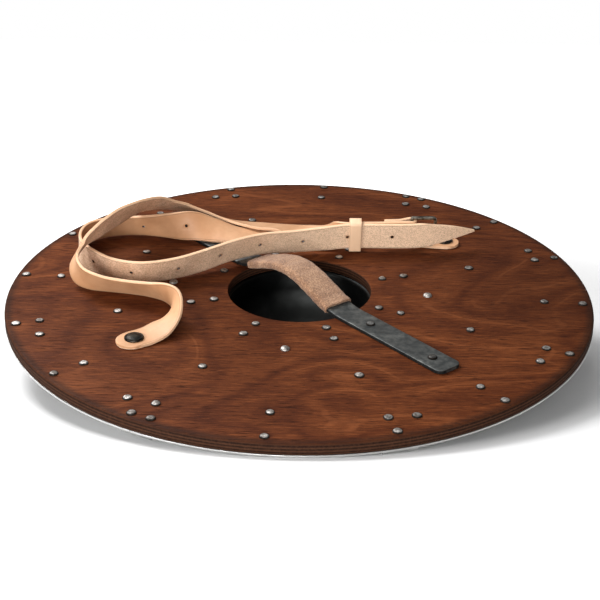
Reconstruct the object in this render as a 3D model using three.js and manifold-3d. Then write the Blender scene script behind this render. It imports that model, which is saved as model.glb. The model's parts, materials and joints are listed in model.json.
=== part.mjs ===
// A round plank-thick shield with a fist boss, seen here with its grip side up (+Z).
// Lengths are millimetres. The boss points down and its tip is the origin; the disc's axis is Z.
// A bearing is counted clockwise from +Y, seen from the grip side.
import * as THREE from 'three';
import { mergeVertices } from 'three/addons/utils/BufferGeometryUtils.js';
import Module from 'manifold-3d';

const wasm = await Module();
wasm.setup();

// Board
const boardRadius = 300;
const boardThickness = 10.6;
const backEdgeRound = 3.2;
const frontEdgeRound = 1.2;
const handHoleRadius = 74;
const seatGap = 0.3;
const cutOverrun = 4;

// Boss: a raised dome with a flat flange on the front face
const bossDepth = 66;
const bossThickness = 2;
const bossFlangeWidth = 26;
const bossWallDepth = 16;
const bossWallLean = 3;

// Rim band in two halves, and the eight radial straps that lie over it
const rimThickness = 2;
const rimWidth = 60;
const rimOverhang = 0.2;
const rimJointGap = 0.8;
const radialCount = 8;
const radialThickness = 2;
const radialWidth = 20;
const radialTipWidth = 32;
const wingMargin = 1.4;
const radialOuterMargin = 4;
const radialInnerGap = 3;
const jogRun = 5;

// Rivets
const shankRadius = 2.4;
const shankClearance = 0.3;
const headRadius = 4.6;
const backHeadHeight = 2.4;
const frontHeadHeight = 2.6;
const backHeadTopShare = 0.6;
const radialInnerInset = 11.9;
const flareTipHalfSpacing = 10;

// Ornamental studs on the front
const studRadius = 12;
const studHeight = 4;
const studTopShare = 0.45;
const studCount = 4;

// Bearings in degrees: the rows of rim pairs, the radial straps, and the joint in the rim band,
// which is turned a little from two of the straps so that it passes between their rivets
const pairBearing = 5.63;
const radialBearing = 27.97;
const rimJointTurn = 1.05;

// Rivets in the rim band, as shares of its width counted in from the board's edge. The hand-set
// rows differ. Each radial strap has a wing to one side of its flare, with one rivet in it.
const rimOuterShare = 0.175;
const rimInnerShares = [0.745, 0.65, 0.82, 0.68, 0.835, 0.7, 0.8, 0.705];
const flareRootShare = 0.55;
const flareWingShare = 0.49;
const flareTipShare = 0.165;
const wingSidewaysShares = [0.42, 0.4, 0.46, 0.42, 0.46, 0.49, 0.43, 0.4];

// Rivets between the boss and the rim, as shares of the way across the boss flange, and from
// the boss flange to the rim band
const flangeRivetShare = 0.65;
const studShare = 0.23;
const radialMidShare = 0.64;

// Grip: an arched bar over the hand hole with a leather sleeve
const gripEndMargin = 18.4;
const gripWidth = 29;
const gripThickness = 3.6;
const gripCornerRadius = 7;
const gripRise = 21;
const gripShift = -8;
const gripArchMargin = 14;
const gripPairIndex = 3;
const gripInnerRivetInset = 10.3;
const gripOuterRivetInset = 24.8;
const sleeveStart = -67;
const sleeveEnd = 61;
const sleeveWall = 2;
const sleeveCrown = 1.4;
const sleeveCornerPower = 0.4;

// Carrying straps: flat leather ribbons that mostly stand on edge
const strapWidth = 32;
const strapThickness = 3.3;
const tipLength = 66;
const tipPower = 1.25;
const tipTaperShare = 0.94;
const endBluntShare = 0.1;
const endStopShares = [0, 0.06, 0.2, 0.45, 0.75];
const strapHoleRadius = 1.7;
const strapHoleFromTip = 96;
const strapHolePitch = 49;
const strapHoleCount = 12;
const bigHeadRadius = 9.5;
const bigHeadHeight = 3;
const bigShankRadius = 3;
const washerRadius = 8;
const washerHeight = 2;

// Buckle, its prong, the turned strap end, and the keeper loop
const buckleLength = 29;
const buckleBar = 3;
const buckleSideGap = 0.5;
const buckleThickness = 3.6;
const buckleCorner = 5;
const hingeBarRadius = 1.8;
const hingeClearance = 0.3;
const foldTailLength = 30;
const foldTailGap = 0.5;
const prongSlotBack = 12;
const foldRivetFromHinge = 20;
const foldRivetRadius = 1.5;
const foldCapRadius = 4;
const foldCapHeight = 1.2;
const foldWasherHeight = 0.6;
const prongThickness = 2.4;
const prongWidth = 3;
const prongRingWall = 1.3;
const prongRingLength = 4.6;
const prongOverhang = 1.5;
const prongRootShare = 0.33;
const prongHeelShare = 0.3;
const prongStepShare = 0.35;
const prongTipShare = 0.6;
const prongLapShare = 0.5;
const prongTopShare = 0.93;
const keeperLength = 13;
const keeperThickness = 1.7;
const keeperClearance = 1.1;
const keeperCorner = 2.2;
const keeperShare = 0.2;

// Facets
const roundSteps = 64;
const bossSteps = 36;
const bossArcSteps = 7;
const rivetSides = 8;
const bigRivetSides = 16;
const holeSides = 6;
const frontEdgeSteps = 2;
const backEdgeSteps = 3;
const cornerSteps = 4;
const archSteps = 14;
const ribbonStep = 12;
const routeSteps = 24;
const foldSteps = 8;
const tailSteps = 4;
const ringSides = 12;
const sleeveSides = 12;
const sleeveSteps = 16;
const mergeShare = 0.001;

// Routes of the two straps over the board: x and y as shares of the board radius, the lean from
// upright in degrees towards the left of the run, and the lift off the board as a share of the
// strap width. The first row is the riveted end, the second its rivet.
const buckleStrapShares = [
  [-0.565, -0.442, -90, 0], [-0.525, -0.3975, -90, 0], [-0.492, -0.375, -90, 0],
  [-0.455, -0.348, -86, 0.05], [-0.425, -0.303, -64, 0.05], [-0.410, -0.245, -22, 0.02],
  [-0.427, -0.188, 12, 0.01], [-0.464, -0.140, 32, 0.01], [-0.522, -0.108, 40, 0.01],
  [-0.590, -0.088, 41, 0.01],
  [-0.660, -0.070, 37, 0.01], [-0.726, -0.043, 22, 0.02], [-0.765, -0.005, -8, 0.20],
  [-0.765, 0.038, -32, 0.60], [-0.730, 0.074, -36, 1.00], [-0.688, 0.125, -30, 1.14],
  [-0.655, 0.190, -29, 1.16], [-0.622, 0.262, -34, 1.12], [-0.588, 0.338, -42, 1.07],
  [-0.548, 0.415, -50, 0.97], [-0.500, 0.490, -58, 0.70], [-0.430, 0.539, -58, 0.41],
  [-0.346, 0.542, -58, 0.15], [-0.250, 0.517, -67, 0.05], [-0.150, 0.488, -77, 0.09],
  [-0.060, 0.451, -80, 0.19], [0.015, 0.407, -104, 0.135], [0.075, 0.367, -125, 0.03],
  [0.125, 0.333, -170, 0.04], [0.170, 0.321, -194, 0.14], [0.215, 0.318, -194, 0.17],
  [0.280, 0.3185, -194, 0.18], [0.345, 0.3210, -194, 0.195], [0.405, 0.3235, -194, 0.195],
];
const holeStrapShares = [
  [0.588, 0.408, -90, 0], [0.535, 0.402, -90, 0], [0.450, 0.415, -90, 0],
  [0.340, 0.432, -90, 0], [0.220, 0.440, -90, 0.04], [0.100, 0.440, -90, 0.09],
  [-0.020, 0.432, -90, 0.09], [-0.130, 0.417, -88, 0.09], [-0.230, 0.402, -82, 0.13],
  [-0.310, 0.400, -61, 0.13], [-0.385, 0.400, -34, 0.13], [-0.460, 0.407, 2, 0.05],
  [-0.540, 0.421, 22, 0.01], [-0.632, 0.424, 30, 0.01], [-0.722, 0.400, 28, 0.01],
  [-0.778, 0.335, 18, 0.01], [-0.790, 0.245, 7, 0.01], [-0.765, 0.155, -4, 0.01],
  [-0.700, 0.082, -16, 0.01], [-0.625, 0.032, -24, 0.01], [-0.534, 0.017, -27, 0.01],
  [-0.432, 0.050, -25, 0.01], [-0.335, 0.103, -22, 0.07], [-0.238, 0.168, -24, 0.17],
  [-0.137, 0.228, -24, 0.17], [-0.020, 0.268, -21, 0.10], [0.090, 0.289, -16, 0.12],
  [0.150, 0.297, -14, 0.16], [0.205, 0.302, -14, 0.17], [0.305, 0.303, -14, 0.165],
  [0.395, 0.306, -14, 0.165], [0.480, 0.316, -13, 0.18], [0.560, 0.342, -11, 0.17],
  [0.640, 0.380, -10, 0.10],
];

// Levels along Z that follow from the sizes above
const boardFront = bossDepth;
const boardBack = boardFront + boardThickness;
const rimFront = boardFront - seatGap - rimThickness;
const radialFront = boardFront - seatGap - radialThickness;
const flareFront = rimFront - seatGap - radialThickness;
const strapLow = boardBack + seatGap;
const buckleWidth = strapWidth + 2 * (buckleBar + buckleSideGap);

// Circles and lengths in the board's plane that follow from them
const flangeRadius = handHoleRadius + bossFlangeWidth;
const rimInner = boardRadius - rimWidth;
const rimOuter = boardRadius + rimOverhang;
const radialStart = flangeRadius + radialInnerGap;
const radialEnd = boardRadius - rimWidth * flareTipShare + headRadius + radialOuterMargin;
const gripHalfLength = rimInner - gripEndMargin;
const gripArchHalf = handHoleRadius + gripArchMargin;

const degree = Math.PI / 180;
const stepBearing = 360 / radialCount;
const material = (color, roughness, metalness) =>
  new THREE.MeshStandardMaterial({ color, roughness, metalness });
const wood = material(0x6b3420, 0.55, 0);
const steel = material(0x8a8c8e, 0.42, 1);
const rivetSteel = material(0xa7a5a0, 0.4, 1);
const gripIron = material(0x4a4c4e, 0.5, 0.9);
const sleeveLeather = material(0xb08a68, 0.85, 0);
const strapLeather = material(0xe0b48c, 0.65, 0);
const buckleMetal = material(0x77736c, 0.4, 1);
const darkMetal = material(0x3a3733, 0.5, 0.9);

// Turns a geometry into a closed shell: shared corners merged, flat slivers dropped, faces outward
function shell(geometry) {
  const bare = geometry.clone();
  bare.deleteAttribute('normal');
  bare.deleteAttribute('uv');
  const merged = mergeVertices(bare, seatGap * mergeShare);
  const points = merged.attributes.position.array;
  const faces = [];
  for (let i = 0; i < merged.index.count; i += 3) {
    const [a, b, c] = [0, 1, 2].map((k) => merged.index.getX(i + k));
    if (a !== b && b !== c && c !== a) faces.push([a, b, c]);
  }
  const corner = (i) => new THREE.Vector3().fromArray(points, i * 3);
  const volume = faces.reduce((sum, [a, b, c]) => sum + corner(a).dot(corner(b).cross(corner(c))), 0);
  const turned = volume < 0 ? faces.map(([a, b, c]) => [a, c, b]) : faces;
  const result = new THREE.BufferGeometry();
  result.setAttribute('position', new THREE.BufferAttribute(new Float32Array(points), 3));
  result.setIndex(turned.flat());
  return result;
}

function toSolid(geometry) {
  const closed = shell(geometry);
  const vertProperties = new Float32Array(closed.attributes.position.array);
  const triVerts = new Uint32Array(closed.index.array);
  return new wasm.Manifold(new wasm.Mesh({ numProp: 3, vertProperties, triVerts }));
}

function toGeometry(solid) {
  const mesh = solid.getMesh();
  const geometry = new THREE.BufferGeometry();
  geometry.setAttribute('position', new THREE.BufferAttribute(mesh.vertProperties, 3));
  geometry.setIndex(Array.from(mesh.triVerts));
  return geometry;
}

const cutAll = (solid, tools) => tools.reduce((rest, tool) => rest.subtract(tool), solid);
const joinAll = (solid, pieces) => pieces.reduce((sum, piece) => sum.add(piece), solid);

// A place on the board at a bearing and radius, moved sideways along the tangent if asked
function place(bearing, radius, sideways = 0) {
  const turn = bearing * degree;
  return new THREE.Vector2(
    radius * Math.sin(turn) + sideways * Math.cos(turn),
    radius * Math.cos(turn) - sideways * Math.sin(turn),
  );
}

// A turned piece about Z from a profile of [radius, height] rows
function turned(profile, steps) {
  const points = profile.map(([radius, height]) => new THREE.Vector2(radius, height));
  return new THREE.LatheGeometry(points, steps).rotateX(Math.PI / 2);
}

function rod(x, y, radius, low, high, sides) {
  const geometry = new THREE.CylinderGeometry(radius, radius, high - low, sides);
  return geometry.rotateX(Math.PI / 2).translate(x, y, (low + high) / 2);
}

// An outline in a vertical plane through Z, made solid to the given width across that plane
function slab(outline, width) {
  const flat = new THREE.ExtrudeGeometry(outline, { depth: width, bevelEnabled: false });
  return flat.translate(0, 0, -width / 2).rotateX(Math.PI / 2);
}

// The rows of an arc from one corner of a profile to another
function arcRows(centreX, centreY, radius, fromAngle, toAngle, steps) {
  return Array.from({ length: steps + 1 }, (_, i) => {
    const angle = (fromAngle + ((toAngle - fromAngle) * i) / steps) * degree;
    return [centreX + radius * Math.cos(angle), centreY + radius * Math.sin(angle)];
  });
}

// A set rivet: a small head under the stack, a shank through it and a hammered head on the back
function rivetProfile(frontSeat, backSeat, sizes = {}) {
  const { head = headRadius, shank = shankRadius, front = headRadius, rise = backHeadHeight,
    drop = frontHeadHeight } = sizes;
  return [
    [0, frontSeat - drop], [front, frontSeat], [shank, frontSeat], [shank, backSeat],
    [head, backSeat], [head * backHeadTopShare, backSeat + rise], [0, backSeat + rise],
  ];
}

// Every rivet as { name, spot, frontSeat, backSeat, owner, row }; owner is the piece it is set in
const headSeat = (front) => front - seatGap;
const backSeat = boardBack + seatGap;
const onRim = (share) => boardRadius - rimWidth * share;
const acrossField = (share) => flangeRadius + (rimInner - flangeRadius) * share;
const wingSide = (row) => (row % 2 === 0 ? 1 : -1);
const rivets = [];
for (let row = 0; row < radialCount; row += 1) {
  const bearing = radialBearing + stepBearing * row;
  const jointed = row % (radialCount / 2) === 0;
  const rim = (sideways) => (row < radialCount / 2 ? 0 : 1) ^ (jointed && sideways <= 0 ? 1 : 0);
  const add = (name, radius, sideways, front, owner) => rivets.push({
    name, spot: place(bearing, radius, sideways), frontSeat: headSeat(front), owner, row,
  });
  const flangeRivet = handHoleRadius + bossFlangeWidth * flangeRivetShare;
  add(`boss_rivet_${row + 1}`, flangeRivet, 0, boardFront - seatGap - bossThickness, 'own');
  add(`strap_inner_rivet_${row + 1}`, radialStart + radialInnerInset, 0, radialFront, 'own');
  add(`strap_middle_rivet_${row + 1}`, acrossField(radialMidShare), 0, radialFront, 'own');
  const wing = wingSide(row) * rimWidth * wingSidewaysShares[row];
  add('', onRim(flareRootShare), 0, flareFront, rim(0));
  add('', onRim(flareWingShare), wing, flareFront, rim(wing));
  const tips = jointed ? [-flareTipHalfSpacing, flareTipHalfSpacing] : [0];
  tips.forEach((tip) => add('', onRim(flareTipShare), tip, flareFront, rim(tip)));
  const pair = pairBearing + stepBearing * row;
  const pairRim = row >= 1 && row <= radialCount / 2 ? 0 : 1;
  for (const share of [rimOuterShare, rimInnerShares[row]]) {
    rivets.push({
      name: '', spot: place(pair, onRim(share)), frontSeat: headSeat(rimFront), owner: pairRim,
    });
  }
}
const gripBearing = pairBearing + stepBearing * gripPairIndex;
const gripBack = boardBack + seatGap + gripThickness;
const gripRivetRadii = [flangeRadius + gripInnerRivetInset, gripHalfLength - gripOuterRivetInset];
gripRivetRadii.forEach((radius, i) => [0, 180].forEach((turn, j) => {
  rivets.push({
    name: `grip_rivet_${2 * i + j + 1}`, spot: place(gripBearing + turn, radius),
    frontSeat: headSeat(boardFront), backSeat: gripBack + seatGap, owner: 'own',
  });
}));
const studs = Array.from({ length: studCount }, (_, k) =>
  place(pairBearing + (360 / studCount) * k, acrossField(studShare)));
const strapRivets = [buckleStrapShares[1], holeStrapShares[1]].map(
  ([x, y]) => new THREE.Vector2(x * boardRadius, y * boardRadius),
);
const holeReach = 1 / Math.cos(Math.PI / holeSides);
const holeFor = (spot, radius = shankRadius) => toSolid(rod(
  spot.x, spot.y, (radius + shankClearance) * holeReach, 0, gripBack + cutOverrun, holeSides,
));

const shield = new THREE.Group();
function addPart(name, geometry, finish, parent = shield) {
  const mesh = new THREE.Mesh(shell(geometry), finish);
  mesh.name = name;
  parent.add(mesh);
  return mesh;
}

// Board: a flat disc with a rounded edge, the hand hole and a hole for every rivet
function board() {
  const profile = [
    [handHoleRadius, boardFront],
    ...arcRows(
      boardRadius - frontEdgeRound, boardFront + frontEdgeRound, frontEdgeRound, -90, 0, frontEdgeSteps,
    ),
    ...arcRows(boardRadius - backEdgeRound, boardBack - backEdgeRound, backEdgeRound, 0, 90, backEdgeSteps),
    [handHoleRadius, boardBack],
    [handHoleRadius, boardFront],
  ];
  const holes = [
    ...rivets.map(({ spot }) => holeFor(spot)),
    ...studs.map((spot) => holeFor(spot)),
    ...strapRivets.map((spot) => holeFor(spot, bigShankRadius)),
  ];
  return toGeometry(cutAll(toSolid(turned(profile, roundSteps)), holes));
}

// Boss: an elliptical dome on a short leaning wall, with a flat flange; the wall is one sheet thick
function boss() {
  const flangeBack = boardFront - seatGap;
  const flangeFront = flangeBack - bossThickness;
  const domeRadius = handHoleRadius - bossWallLean;
  const domeTop = flangeFront - bossWallDepth;
  const dome = (inset) => Array.from({ length: bossArcSteps + 1 }, (_, i) => {
    const angle = (90 * i) / bossArcSteps * degree;
    return [(domeRadius - inset) * Math.cos(angle), domeTop - (domeTop - inset) * Math.sin(angle)];
  });
  const outside = [...dome(0)].reverse();
  const inside = dome(bossThickness);
  outside[0][0] = 0;
  inside[inside.length - 1][0] = 0;
  const profile = [
    ...outside,
    [handHoleRadius, flangeFront],
    [flangeRadius, flangeFront],
    [flangeRadius, flangeBack],
    [handHoleRadius - bossThickness, flangeBack],
    ...inside,
  ];
  const holes = rivets.filter(({ name }) => name.startsWith('boss')).map(({ spot }) => holeFor(spot));
  return toGeometry(cutAll(toSolid(turned(profile, bossSteps)), holes));
}

const rivetSolid = ({ spot, frontSeat, backSeat: seat = backSeat }, sizes) =>
  toSolid(turned(rivetProfile(frontSeat, seat, sizes), rivetSides).translate(spot.x, spot.y, 0));

// Half of the rim band with its rivets set in it
function rimHalf(side) {
  const ring = toSolid(turned([
    [rimInner, rimFront], [rimOuter, rimFront], [rimOuter, rimFront + rimThickness],
    [rimInner, rimFront + rimThickness], [rimInner, rimFront],
  ], roundSteps));
  const reach = rimOuter + cutOverrun;
  const half = new THREE.BoxGeometry(2 * reach, 2 * reach, boardBack);
  half.translate(reach + rimJointGap / 2, 0, rimFront).rotateZ(-(radialBearing + rimJointTurn) * degree);
  if (side === 1) half.rotateZ(Math.PI);
  const set = rivets.filter(({ owner }) => owner === side).map((rivet) => rivetSolid(rivet));
  return toGeometry(joinAll(ring.intersect(toSolid(half)), set));
}

// Radial strap: a narrow bar on the board that steps up over the rim band, where it flares into a
// wing on one side and a square tip
function radialStrap(row) {
  const high = boardFront - seatGap;
  const step = rimThickness + seatGap;
  const bendEnd = rimInner - seatGap;
  const bendStart = bendEnd - jogRun;
  const side = new THREE.Shape([
    [radialStart, high], [bendStart, high], [bendEnd, high - step], [radialEnd, high - step],
    [radialEnd, flareFront], [bendEnd, flareFront], [bendStart, radialFront], [radialStart, radialFront],
  ].map(([x, y]) => new THREE.Vector2(x, y)));
  const [near, tip, wingHalf] = [radialWidth / 2, radialTipWidth / 2, headRadius + wingMargin];
  const wide = rimWidth * wingSidewaysShares[row] + wingHalf;
  const [wingIn, wingOut] = [onRim(flareWingShare) - wingHalf, onRim(flareWingShare) + wingHalf];
  const plan = new THREE.Shape();
  plan.moveTo(radialStart + near, -near);
  plan.lineTo(wingIn, -near);
  plan.lineTo(wingOut, -tip);
  plan.lineTo(radialEnd, -tip);
  plan.lineTo(radialEnd, tip);
  plan.lineTo(wingOut, wide);
  plan.lineTo(wingIn, wide);
  plan.quadraticCurveTo(wingIn, near, rimInner + jogRun / 2, near);
  plan.lineTo(radialStart + near, near);
  plan.absarc(radialStart + near, 0, near, Math.PI / 2, (3 * Math.PI) / 2, false);
  const flat = new THREE.ExtrudeGeometry(plan, {
    depth: boardBack, bevelEnabled: false, curveSegments: cornerSteps,
  }).scale(1, -wingSide(row), 1);
  const turn = (90 - radialBearing - stepBearing * row) * degree;
  const body = toSolid(slab(side, 2 * wide + cutOverrun).rotateZ(turn))
    .intersect(toSolid(flat.rotateZ(turn)));
  const mine = rivets.filter((rivet) => rivet.row === row && !rivet.name.startsWith('boss'));
  return toGeometry(cutAll(body, mine.map(({ spot }) => holeFor(spot))));
}

// Stud: a low cone on the front whose shank is riveted on the back
function stud(spot) {
  const seat = boardFront - seatGap;
  const profile = [
    [0, seat - studHeight], [studRadius * studTopShare, seat - studHeight],
    [studRadius, seat], [shankRadius, seat], [shankRadius, backSeat], [headRadius, backSeat],
    [headRadius * backHeadTopShare, backSeat + backHeadHeight], [0, backSeat + backHeadHeight],
  ];
  return turned(profile, rivetSides).translate(spot.x, spot.y, 0);
}

// Height of the grip bar's middle above its flat feet, at a distance from the centre: one smooth
// bow, a little to one side of the middle, as a hand-bent bar has
function gripHeight(distance) {
  const share = Math.min(Math.abs(distance - gripShift) / gripArchHalf, 1);
  return gripRise * Math.cos(90 * share * degree) ** 2;
}

const gripStations = () => {
  const bow = Array.from({ length: archSteps + 1 }, (_, i) =>
    gripShift + gripArchHalf * ((2 * i) / archSteps - 1));
  return [-gripHalfLength, ...bow, gripHalfLength];
};

// Grip bar: a flat bar arched over the hand hole, with rounded corners at its ends
function gripBar() {
  const low = boardBack + seatGap;
  const rows = gripStations();
  const side = new THREE.Shape([
    ...rows.map((s) => new THREE.Vector2(s, low + gripHeight(s))),
    ...[...rows].reverse().map((s) => new THREE.Vector2(s, low + gripThickness + gripHeight(s))),
  ]);
  const plan = new THREE.Shape();
  const [x, y, r] = [gripHalfLength, gripWidth / 2, gripCornerRadius];
  plan.moveTo(-x + r, -y);
  plan.absarc(x - r, -y + r, r, -Math.PI / 2, 0, false);
  plan.absarc(x - r, y - r, r, 0, Math.PI / 2, false);
  plan.absarc(-x + r, y - r, r, Math.PI / 2, Math.PI, false);
  plan.absarc(-x + r, -y + r, r, Math.PI, (3 * Math.PI) / 2, false);
  const flat = new THREE.ExtrudeGeometry(plan, {
    depth: 2 * boardBack, bevelEnabled: false, curveSegments: cornerSteps,
  });
  const turn = (90 - gripBearing) * degree;
  const body = toSolid(slab(side, gripWidth + cutOverrun).rotateZ(turn))
    .intersect(toSolid(flat.rotateZ(turn)));
  const holes = rivets.filter(({ name }) => name.startsWith('grip')).map(({ spot }) => holeFor(spot));
  return toGeometry(cutAll(body, holes));
}

// Joins rings of points, each a closed loop, into a surface; a closed list of rings has no caps
function loft(rings, capped) {
  const count = rings[0].length;
  const points = rings.flat();
  const faces = [];
  const last = capped ? rings.length - 1 : rings.length;
  for (let i = 0; i < last; i += 1) {
    const next = (i + 1) % rings.length;
    for (let j = 0; j < count; j += 1) {
      const k = (j + 1) % count;
      faces.push(i * count + j, next * count + j, next * count + k);
      faces.push(i * count + j, next * count + k, i * count + k);
    }
  }
  if (capped) {
    const top = (rings.length - 1) * count;
    for (let j = 1; j < count - 1; j += 1) faces.push(0, j, j + 1, top, top + j + 1, top + j);
  }
  const geometry = new THREE.BufferGeometry();
  const places = new Float32Array(points.flatMap((point) => point.toArray()));
  geometry.setAttribute('position', new THREE.BufferAttribute(places, 3));
  geometry.setIndex(faces);
  return geometry;
}

// Leather sleeve: a flattened oval tube that follows the arched bar and leaves a gap round it
function gripSleeve() {
  const middle = boardBack + seatGap + gripThickness / 2;
  const inside = [gripWidth / 2 + seatGap, gripThickness / 2 + seatGap];
  const outside = [inside[0] + sleeveWall, inside[1] + sleeveWall];
  const oval = (s, [halfWidth, halfHeight], crown) => {
    const slope = (gripHeight(s + seatGap) - gripHeight(s - seatGap)) / (2 * seatGap);
    const lean = Math.atan(slope);
    return Array.from({ length: sleeveSides }, (_, i) => {
      const angle = (2 * Math.PI * i) / sleeveSides + Math.PI / sleeveSides;
      const squared = (value) => Math.sign(value) * Math.abs(value) ** sleeveCornerPower;
      const across = squared(Math.cos(angle)) * halfWidth;
      const up = squared(Math.sin(angle)) * halfHeight + crown * Math.max(Math.sin(angle), 0);
      const height = middle + gripHeight(s) + up * Math.cos(lean);
      return new THREE.Vector3(s - up * Math.sin(lean), across, height);
    });
  };
  const box = (s) => {
    const lean = Math.atan((gripHeight(s + seatGap) - gripHeight(s - seatGap)) / (2 * seatGap));
    return [[-1, -1], [1, -1], [1, 1], [-1, 1]].map(([a, b]) => new THREE.Vector3(
      s - b * inside[1] * Math.sin(lean), a * inside[0],
      middle + gripHeight(s) + b * inside[1] * Math.cos(lean),
    ));
  };
  const stops = Array.from({ length: sleeveSteps + 1 }, (_, i) =>
    sleeveStart + ((sleeveEnd - sleeveStart) * i) / sleeveSteps);
  const reach = [sleeveStart - cutOverrun, ...stops, sleeveEnd + cutOverrun];
  const turn = (90 - gripBearing) * degree;
  const outer = toSolid(loft(stops.map((s) => oval(s, outside, sleeveCrown)), true).rotateZ(turn));
  return toGeometry(outer.subtract(toSolid(loft(reach.map(box), true).rotateZ(turn))));
}

// A smooth value between stations: each stretch leaves and arrives along its neighbours' line
function between(rows, at) {
  const i = Math.min(Math.max(Math.floor(at), 0), rows.length - 2);
  const f = at - i;
  const row = (n) => rows[Math.min(Math.max(n, 0), rows.length - 1)];
  return rows[0].map((_, c) => {
    const [a, b] = [row(i)[c], row(i + 1)[c]];
    const m = (b - row(i - 1)[c]) / 2;
    const n = (row(i + 2)[c] - a) / 2;
    return (2 * f ** 3 - 3 * f ** 2 + 1) * a + (f ** 3 - 2 * f ** 2 + f) * m
      + (3 * f ** 2 - 2 * f ** 3) * b + (f ** 3 - f ** 2) * n;
  });
}

// A strap's route as evenly spaced frames: middle, forward, across (its width) and out (its face)
function route(shares) {
  const rows = shares.map(([x, y, lean, lift]) => {
    const [c, s] = [Math.abs(Math.cos(lean * degree)), Math.abs(Math.sin(lean * degree))];
    const height = strapLow + (strapWidth * c + strapThickness * s) / 2 + lift * strapWidth;
    return [x * boardRadius, y * boardRadius, height, lean];
  });
  const fineCount = (rows.length - 1) * routeSteps + 1;
  const fine = Array.from({ length: fineCount }, (_, i) => between(rows, i / routeSteps));
  const spot = (row) => new THREE.Vector3(row[0], row[1], row[2]);
  const lengths = [0];
  for (let i = 1; i < fine.length; i += 1) {
    lengths.push(lengths[i - 1] + spot(fine[i]).distanceTo(spot(fine[i - 1])));
  }
  const total = lengths[lengths.length - 1];
  const frameAt = (distance) => {
    const d = Math.min(Math.max(distance, 0), total);
    let i = lengths.findIndex((value) => value >= d);
    i = Math.max(i, 1);
    const f = (d - lengths[i - 1]) / (lengths[i] - lengths[i - 1]);
    const row = fine[i].map((value, c) => fine[i - 1][c] * (1 - f) + value * f);
    const forward = spot(fine[Math.min(i + 2, fine.length - 1)]).sub(spot(fine[Math.max(i - 3, 0)]));
    const run = new THREE.Vector3(forward.x, forward.y, 0).normalize();
    const left = new THREE.Vector3(-run.y, run.x, 0);
    const across = new THREE.Vector3(0, 0, Math.cos(row[3] * degree))
      .addScaledVector(left, Math.sin(row[3] * degree));
    forward.normalize();
    const out = new THREE.Vector3().crossVectors(forward, across).normalize();
    return { middle: spot(row), forward, across: across.normalize(), out };
  };
  return { total, frameAt };
}

// One strap cross-section: a rectangle of the strap's thickness, as wide as the strap is there
const section = ({ middle, across, out }, halfWidth) =>
  [[-1, -1], [1, -1], [1, 1], [-1, 1]].map(([a, b]) => middle.clone()
    .addScaledVector(across, a * halfWidth).addScaledVector(out, (b * strapThickness) / 2));

const buckleRoute = route(buckleStrapShares);
const holeRoute = route(holeStrapShares);
const endRound = strapWidth / 2;
const roundEnd = (d) => {
  const short = Math.max(endRound - d, 0) / endRound;
  return Math.max(Math.sqrt(1 - short ** 2), endBluntShare);
};
const endStops = endStopShares.map((share) => share * endRound);

// The strap with the row of holes, from its riveted end to its pointed tip
function holeStrap() {
  const { total, frameAt } = holeRoute;
  const count = Math.round((total - endRound) / ribbonStep);
  const stops = Array.from({ length: count + 1 }, (_, i) => endRound + ((total - endRound) * i) / count);
  const half = (d) => {
    const gone = Math.min(Math.max((d - (total - tipLength)) / tipLength, 0), 1);
    return (strapWidth / 2) * Math.min(roundEnd(d), 1 - tipTaperShare * gone ** tipPower);
  };
  const body = toSolid(loft([...endStops, ...stops].map((d) => section(frameAt(d), half(d))), true));
  const holes = Array.from({ length: strapHoleCount }, (_, i) => {
    const { middle, out } = frameAt(total - strapHoleFromTip - strapHolePitch * i);
    const pin = rod(0, 0, strapHoleRadius, -strapThickness, strapThickness, rivetSides);
    const turn = new THREE.Quaternion().setFromUnitVectors(new THREE.Vector3(0, 0, 1), out);
    return toSolid(pin.applyQuaternion(turn).translate(middle.x, middle.y, middle.z));
  });
  return toGeometry(cutAll(body, [...holes, holeFor(strapRivets[1], bigShankRadius)]));
}

// Where the buckle hangs: the hinge bar stands across the end of the buckle strap
const strapEnd = buckleRoute.frameAt(buckleRoute.total);
const foldRadius = hingeBarRadius + hingeClearance + strapThickness / 2;
const towardsTail = strapEnd.out.clone().multiplyScalar(
  -Math.sign(strapEnd.out.dot(holeRoute.frameAt(holeRoute.total - strapHoleFromTip).middle.clone()
    .sub(strapEnd.middle))),
);
const hinge = strapEnd.middle.clone().addScaledVector(towardsTail, foldRadius);

// Frame of the hinge: X forward along the strap, Y towards the tail's side, Z along the hinge bar
const atHinge = new THREE.Matrix4().makeBasis(
  strapEnd.forward,
  towardsTail,
  new THREE.Vector3().crossVectors(strapEnd.forward, towardsTail).normalize(),
).setPosition(hinge);

// Where the fold rivet goes through the strap and its tail: Z points from the strap to the tail
function atFold() {
  const { middle, forward, out } = buckleRoute.frameAt(buckleRoute.total - foldRivetFromHinge);
  const axis = out.clone().multiplyScalar(Math.sign(out.dot(towardsTail)));
  const side = new THREE.Vector3().crossVectors(axis, forward);
  return new THREE.Matrix4().makeBasis(forward, side, axis).setPosition(middle);
}

function foldHole() {
  const radius = (foldRivetRadius + shankClearance) * holeReach;
  const reach = 2 * (strapThickness + foldTailGap);
  return toSolid(rod(0, 0, radius, -reach, reach, holeSides).applyMatrix4(atFold()));
}

// Fold rivet: a thin washer against the hole strap and a low cap on the tail
function foldRivet() {
  const front = -strapThickness / 2 - seatGap;
  const back = 1.5 * strapThickness + foldTailGap + seatGap;
  const sizes = {
    head: foldCapRadius, rise: foldCapHeight, shank: foldRivetRadius,
    front: foldCapRadius, drop: foldWasherHeight,
  };
  return turned(rivetProfile(front, back, sizes), rivetSides).applyMatrix4(atFold());
}

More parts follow.
